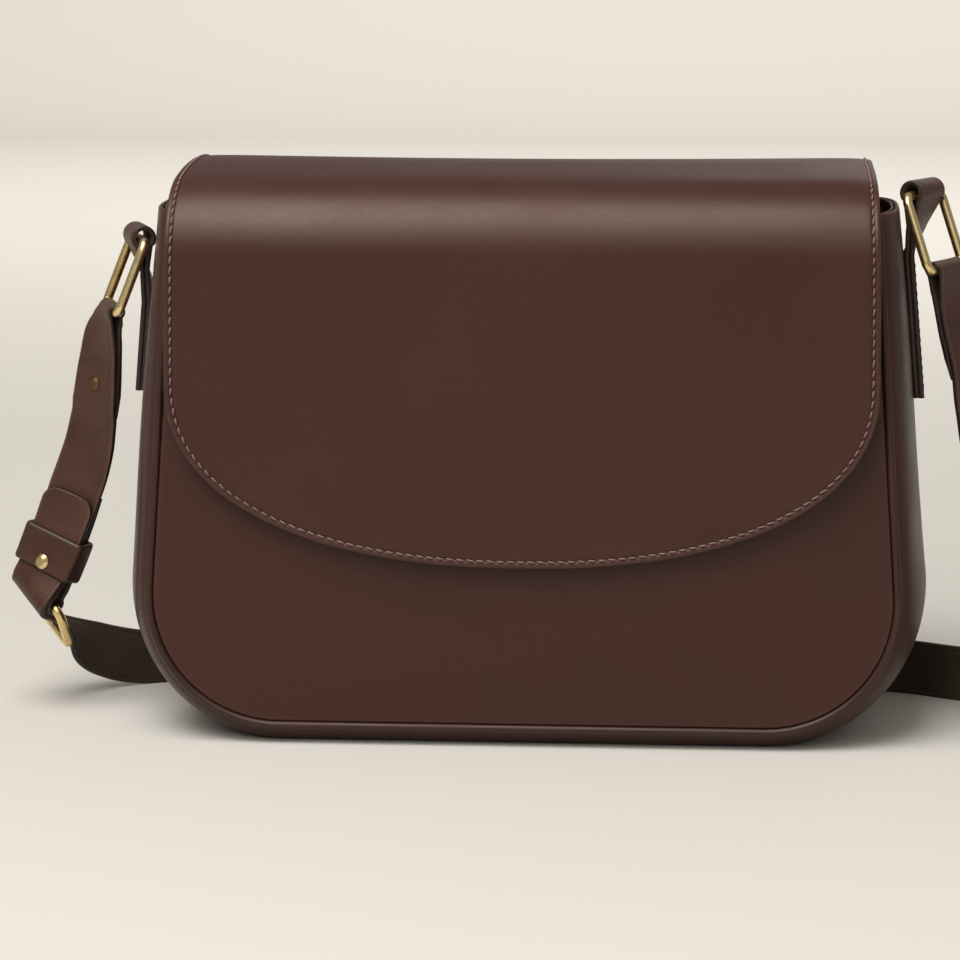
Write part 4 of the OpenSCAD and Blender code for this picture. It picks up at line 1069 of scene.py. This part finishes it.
def folded_end(line, v, split, front):
    """A strap end turned round its ring's bar: the tail lies behind, pared thin at its edge."""
    run = lengths(np.array([f[0] for f in line[:split + 1]]))
    share_h = np.interp(run, [0, 3, 7, 11, 15, 20], [2.8, 2.45, 2.0, 1.75, 1.66, STRAP_T])
    thick = np.interp(run, [0, 5, 12, 20], [FOLD_T, 1.35, 1.6, STRAP_T])
    pared = np.clip((run - FOLD_TAIL + 7) / 7, 0, 1)
    tail_thick = np.where(run > FOLD_TAIL - 7, lerp(thick, 0.5, pared), thick)
    settle = smooth(FOLD_TAIL - 4, run[-1] - 1.5, run)
    first = 4
    outer, inner, t_outer, t_inner = [], [], [], []
    for i in range(first, split + 1):
        p, a, f = line[i]
        f = f * front
        outer.append([*(p + f * lerp(share_h[i] - thick[i] / 2, 0.0, settle[i])), *a])
        t_outer.append(thick[i])
        if run[i] <= FOLD_TAIL:
            inner.append([*(p - f * (share_h[i] - thick[i] + tail_thick[i] / 2)), *a])
            t_inner.append(tail_thick[i])
    start, _, face = line[first]
    turn = round_bar(bar_low(v), bar_dir(v), start, face * front, np.arange(200, -21, -14))
    frames = to_frames(np.array(inner[::-1] + turn + outer))
    frames[-1] = line[split]
    return frames, np.array(t_inner[::-1] + [FOLD_T] * len(turn) + t_outer)


def build_strap_ends():
    for side, line, cut in (("left", LEFT_FINE, LEFT_CUT), ("right", RIGHT_FINE, RIGHT_CUT)):
        v, split = RINGS[side], cut * FINE
        outward = np.array([v[0], -0.4, 0])
        frames, thicks = folded_end(line, v, split, 1 if line[FINE][2] @ outward > 0 else -1)
        parts = sweep(frames, STRAP_W, thicks, slots=grain_out(frames[-1][2], outward), caps=(True, False))
        bar, at = bar_low(v) * MM, line[split][0] * MM
        bend = (side + "_strap_end", side + "_ring", lerp(bar, at, 0.58), lerp(bar, at, 0.98))
        piece(side + "_strap_fold", parts, "strap flesh edge", side + "_strap_end", bend)


def build_upper_strap():
    """From below the left ring down to the buckle's heel bar, round it and back up behind."""
    part = LEFT_FINE[LEFT_CUT * FINE:]
    run = lengths(np.array([f[0] for f in part]))
    near = run[-1] - run
    # where the strap lies double, the layer that shows moves outwards and gets thinner
    double = smooth(FINE * 1.6, FINE * 2.4, np.arange(len(part)))
    h = np.interp(near, [0, 3, 7, 11, 15, 20], [2.2, 1.95, 1.5, 1.2, 1.05, STRAP_T / 2])
    t = np.interp(near, [0, 5, 12, 20], [FOLD_T, 1.35, 1.6, STRAP_T])
    stop, tail_end = len(part) - 4, int(FINE * 2.1)
    rows = [[*(p + f * FRONT_SIGN * h[i] * double[i]), *a] for i, (p, a, f) in enumerate(part[:stop])]
    thicks = [lerp(STRAP_T, t[i], double[i]) for i in range(stop)]
    last = part[stop - 1]
    turn = round_bar(HEEL, BUCKLE_WIDE, last[0], last[2] * FRONT_SIGN, np.arange(-20, 201, 14))
    tail, t_tail = [], []
    for i in range(stop - 1, tail_end, -1):
        p, a, f = part[i]
        tail.append([*(p - f * FRONT_SIGN * h[i]), *a])
        t_tail.append(lerp(t[i], 0.5, float(np.clip((run[tail_end] + 7 - run[i]) / 7, 0, 1))))
    frames = to_frames(np.array(rows + turn + tail))
    frames[0] = part[0]
    parts = sweep(frames, STRAP_W, np.array(thicks + [FOLD_T] * len(turn) + t_tail),
                  slots=grain_out(frames[2][2], np.array([-1, -0.4, 0])), caps=(False, True))
    top = part[0][0] * MM
    bend = ("left_ring", "bag", tuple(top), (top[0], top[1], top[2] - 0.022))
    piece("upper_strap_leather", parts, "strap flesh edge", "upper_strap", bend)


def build_long_strap():
    """From below the right ring, along the floor and through the buckle to its rounded tip."""
    run = lengths(np.array([f[0] for f in LONG_FINE]))
    tip = np.clip(1 - (run[-1] - run) / 5.0, 0, 1)
    widths = STRAP_W - 10.0 * (1 - np.sqrt(1 - tip ** 2))
    parts = sweep(LONG_FINE, widths, STRAP_T, slots=grain_out(LONG_FINE[2][2], np.array([1, -0.4, 0])),
                  caps=(False, True))
    top = LONG_FINE[0][0] * MM
    bend = ("right_ring", "bag", tuple(top), (top[0], top[1], 0.072))
    piece("long_strap_leather", parts, "strap flesh edge", "long_strap", bend)


def build_keeper():
    steps = 24
    fine = to_frames(spline(LEFT_ROUTE, steps))
    start, stop = (int(steps * row / CAD_STEPS) for row in (KEEPER_ROW - 3, KEEPER_ROW + 1))
    half, behind = STRAP_W / 2 + KEEPER_GAP, STRAP_T + KEEPER_GAP
    ahead = TONGUE_LIFT + STRAP_T / 2 + KEEPER_GAP

    def ring(f, grow, sink=0.0):
        r = 0.6 + grow * 0.9
        pts = []
        for sx, sy, turn in ((1, 1, 0), (-1, 1, 90), (-1, -1, 180), (1, -1, 270)):
            cx, cy = sx * (half + grow - r), (ahead + grow - r) if sy > 0 else -(behind + grow - r)
            for q in range(0, 91, 18):
                ang = math.radians(turn + q)
                pts.append([cx + (r - sink) * math.cos(ang), cy + (r - sink) * math.sin(ang)])
            # a point in the middle of the next face, slightly hollow in front
            if sx == 1 and sy == 1:
                pts.append([0, ahead + grow - sink - 0.15])
            if sx == -1 and sy == -1:
                pts.append([0, -(behind + grow - sink)])
        return [f[0] + f[1] * p[0] + f[2] * FRONT_SIGN * p[1] for p in pts]

    frames = fine[start:stop + 1]
    n = len(frames)
    loops = [ring(frames[k], KEEPER_T, [0.45, 0.12, 0.0][min(k, n - 1 - k, 2)]) for k in range(n)]
    loops += [ring(frames[k], 0) for k in range(n - 1, -1, -1)]
    total, m = len(loops), len(loops[0])
    rim = (0, n - 2, n - 1, total - 1)
    indices = [2 if i in rim else (0 if i < n - 1 else 1) for i in range(total) for _ in range(m)]
    uvs = [[j * 2.2, i * 0.6] for i in range(total) for j in range(m)]
    wear = [math.exp(-(min(i, abs(n - 1 - i)) if i < n else 9) / 1.4)
            for i in range(total) for _ in range(m)]
    parts = (np.array(loops).reshape(-1, 3), quads(total, m, round_rows=True), indices, uvs, wear)
    piece("keeper_leather", parts, "strap flesh edge", "keeper")


def dress_hardware():
    for node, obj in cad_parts.items():
        if obj.hide_render:
            continue
        kind = "steel" if "washer" in node else "dark_brass" if "end_rivet" in node else "brass"
        obj.data.materials.clear()
        obj.data.materials.append(MATS[kind])
        for poly in obj.data.polygons:
            poly.material_index = 0


# ---- stage, light and camera, in metres
WARM_WHITE = (1.0, 0.985, 0.965)
# name, place, aim, size, watts and colour of each lamp
LAMPS = [("key_box", (-0.50, -1.15, 1.25), (0.0, 0.0, 0.08), (1.0, 0.9), 8.2, WARM_WHITE),
         ("top_box", (-0.30, -0.62, 1.45), (-0.05, 0.0, 0.1), (1.0, 0.9), 16.5, (1.0, 0.985, 0.97)),
         ("front_fill", (0.2, -1.6, 0.9), (0.0, 0.0, 0.08), (1.2, 0.8), 2.2, WARM_WHITE),
         ("backdrop_box", (0.0, 1.35, 1.7), (0.0, 3.3, 0.2), (3.0, 0.8), 37.0, (1.0, 0.99, 0.98)),
         ("rear_fill", (0.5, 1.5, 0.9), (0.0, 0.0, 0.08), (1.0, 0.8), 1.4, WARM_WHITE)]
WORLD_COLOUR, WORLD_STRENGTH = (236, 231, 222), 0.33


def studio_paper():
    """Pale to the eye and in reflections, darker as a bounce onto the bag, with painted light that makes it a
    little paler to the rear.
    """
    n = Nodes("studio_paper")
    at = n.coords("Object")
    colour = n.tone(n.noise(at, 1.3, 2.0), 0.35, 0.65, 1.0, srgb(225, 221, 213), srgb(228, 224, 216))
    # painted light: the paper's colour grows paler towards the rear, standing in for a more brightly lit
    # backdrop
    depth = n.add("ShaderNodeSeparateXYZ", "Y", {"Vector": at})
    colour = n.tone(depth, 0.3, 2.6, 1.0, colour, srgb(244, 239, 231))
    seen = n.add("ShaderNodeLightPath", "Is Camera Ray")
    for ray in ("Is Glossy Ray", "Is Transmission Ray"):
        seen = n.math("MAXIMUM", seen, n.add("ShaderNodeLightPath", ray))
    colour = n.mix(seen, srgb(140, 135, 128), colour)
    return n.finish(colour, 0.9, n.bump(n.noise(at, 700.0, 3.0), 0.00005, 0.2), Specular_IOR_Level=0.1)


def build_stage():
    # the floor is long enough that a camera behind the bag still stands before the curve
    half_width, front_end, curve_start, curve_r = 4.5, -5.0, 2.6, 0.6
    profile = [(y, 0.0) for y in (front_end, -1.0, 0.0, 1.0)]
    profile += [(curve_start + curve_r * math.sin(a), curve_r * (1 - math.cos(a)))
                for a in np.radians(np.arange(0, 91, 7.5))]
    verts = [(x / MM, y / MM, z / MM) for y, z in profile for x in (-half_width, half_width)]
    faces = [[2 * i, 2 * i + 1, 2 * i + 3, 2 * i + 2] for i in range(len(profile) - 1)]
    mesh_object("studio_sweep", verts, faces, [studio_paper()])


def build_lamps():
    for name, place, aim, size, watts, colour in LAMPS:
        data = bpy.data.lights.new(name, "AREA")
        data.shape, data.size, data.size_y = "RECTANGLE", size[0], size[1]
        data.energy, data.color = watts, colour
        lamp = bpy.data.objects.new(name, data)
        bpy.context.scene.collection.objects.link(lamp)
        lamp.location = place
        lamp.rotation_euler = (Vector(aim) - Vector(place)).to_track_quat("-Z", "Y").to_euler()
    world = bpy.data.worlds.new("studio_world")
    bpy.context.scene.world = world
    world.use_nodes = True
    world.node_tree.nodes["Background"].inputs["Color"].default_value = srgb(*WORLD_COLOUR)
    world.node_tree.nodes["Background"].inputs["Strength"].default_value = WORLD_STRENGTH


def build_camera():
    """The photo's view: 4 degrees to the right of the front, 9 degrees above, shifted to its framing."""
    az, el, far = math.radians(4.0), math.radians(9.0), 1.1
    focal_px, image_px, shift_px, sensor_mm = 3481.0, 960, (-49, -40), 36.0
    target = Vector((0, 0, 0.09))
    back = Vector((math.sin(az) * math.cos(el), -math.cos(az) * math.cos(el), math.sin(el)))
    data = bpy.data.cameras.new("camera")
    data.sensor_width = sensor_mm
    data.lens = focal_px / image_px * sensor_mm
    data.shift_x, data.shift_y = shift_px[0] / image_px, shift_px[1] / image_px
    cam = bpy.data.objects.new("camera", data)
    bpy.context.scene.collection.objects.link(cam)
    cam.location = target + back * far
    cam.rotation_euler = (-back).to_track_quat("-Z", "Y").to_euler()
    bpy.context.scene.camera = cam


build_materials()
build_panels()
build_gusset()
build_piping()
build_inside()
build_flap()
build_tabs()
build_strap_ends()
build_upper_strap()
build_long_strap()
build_keeper()
dress_hardware()
build_stage()
build_lamps()
build_camera()
bpy.context.scene.view_settings.view_transform = "Standard"
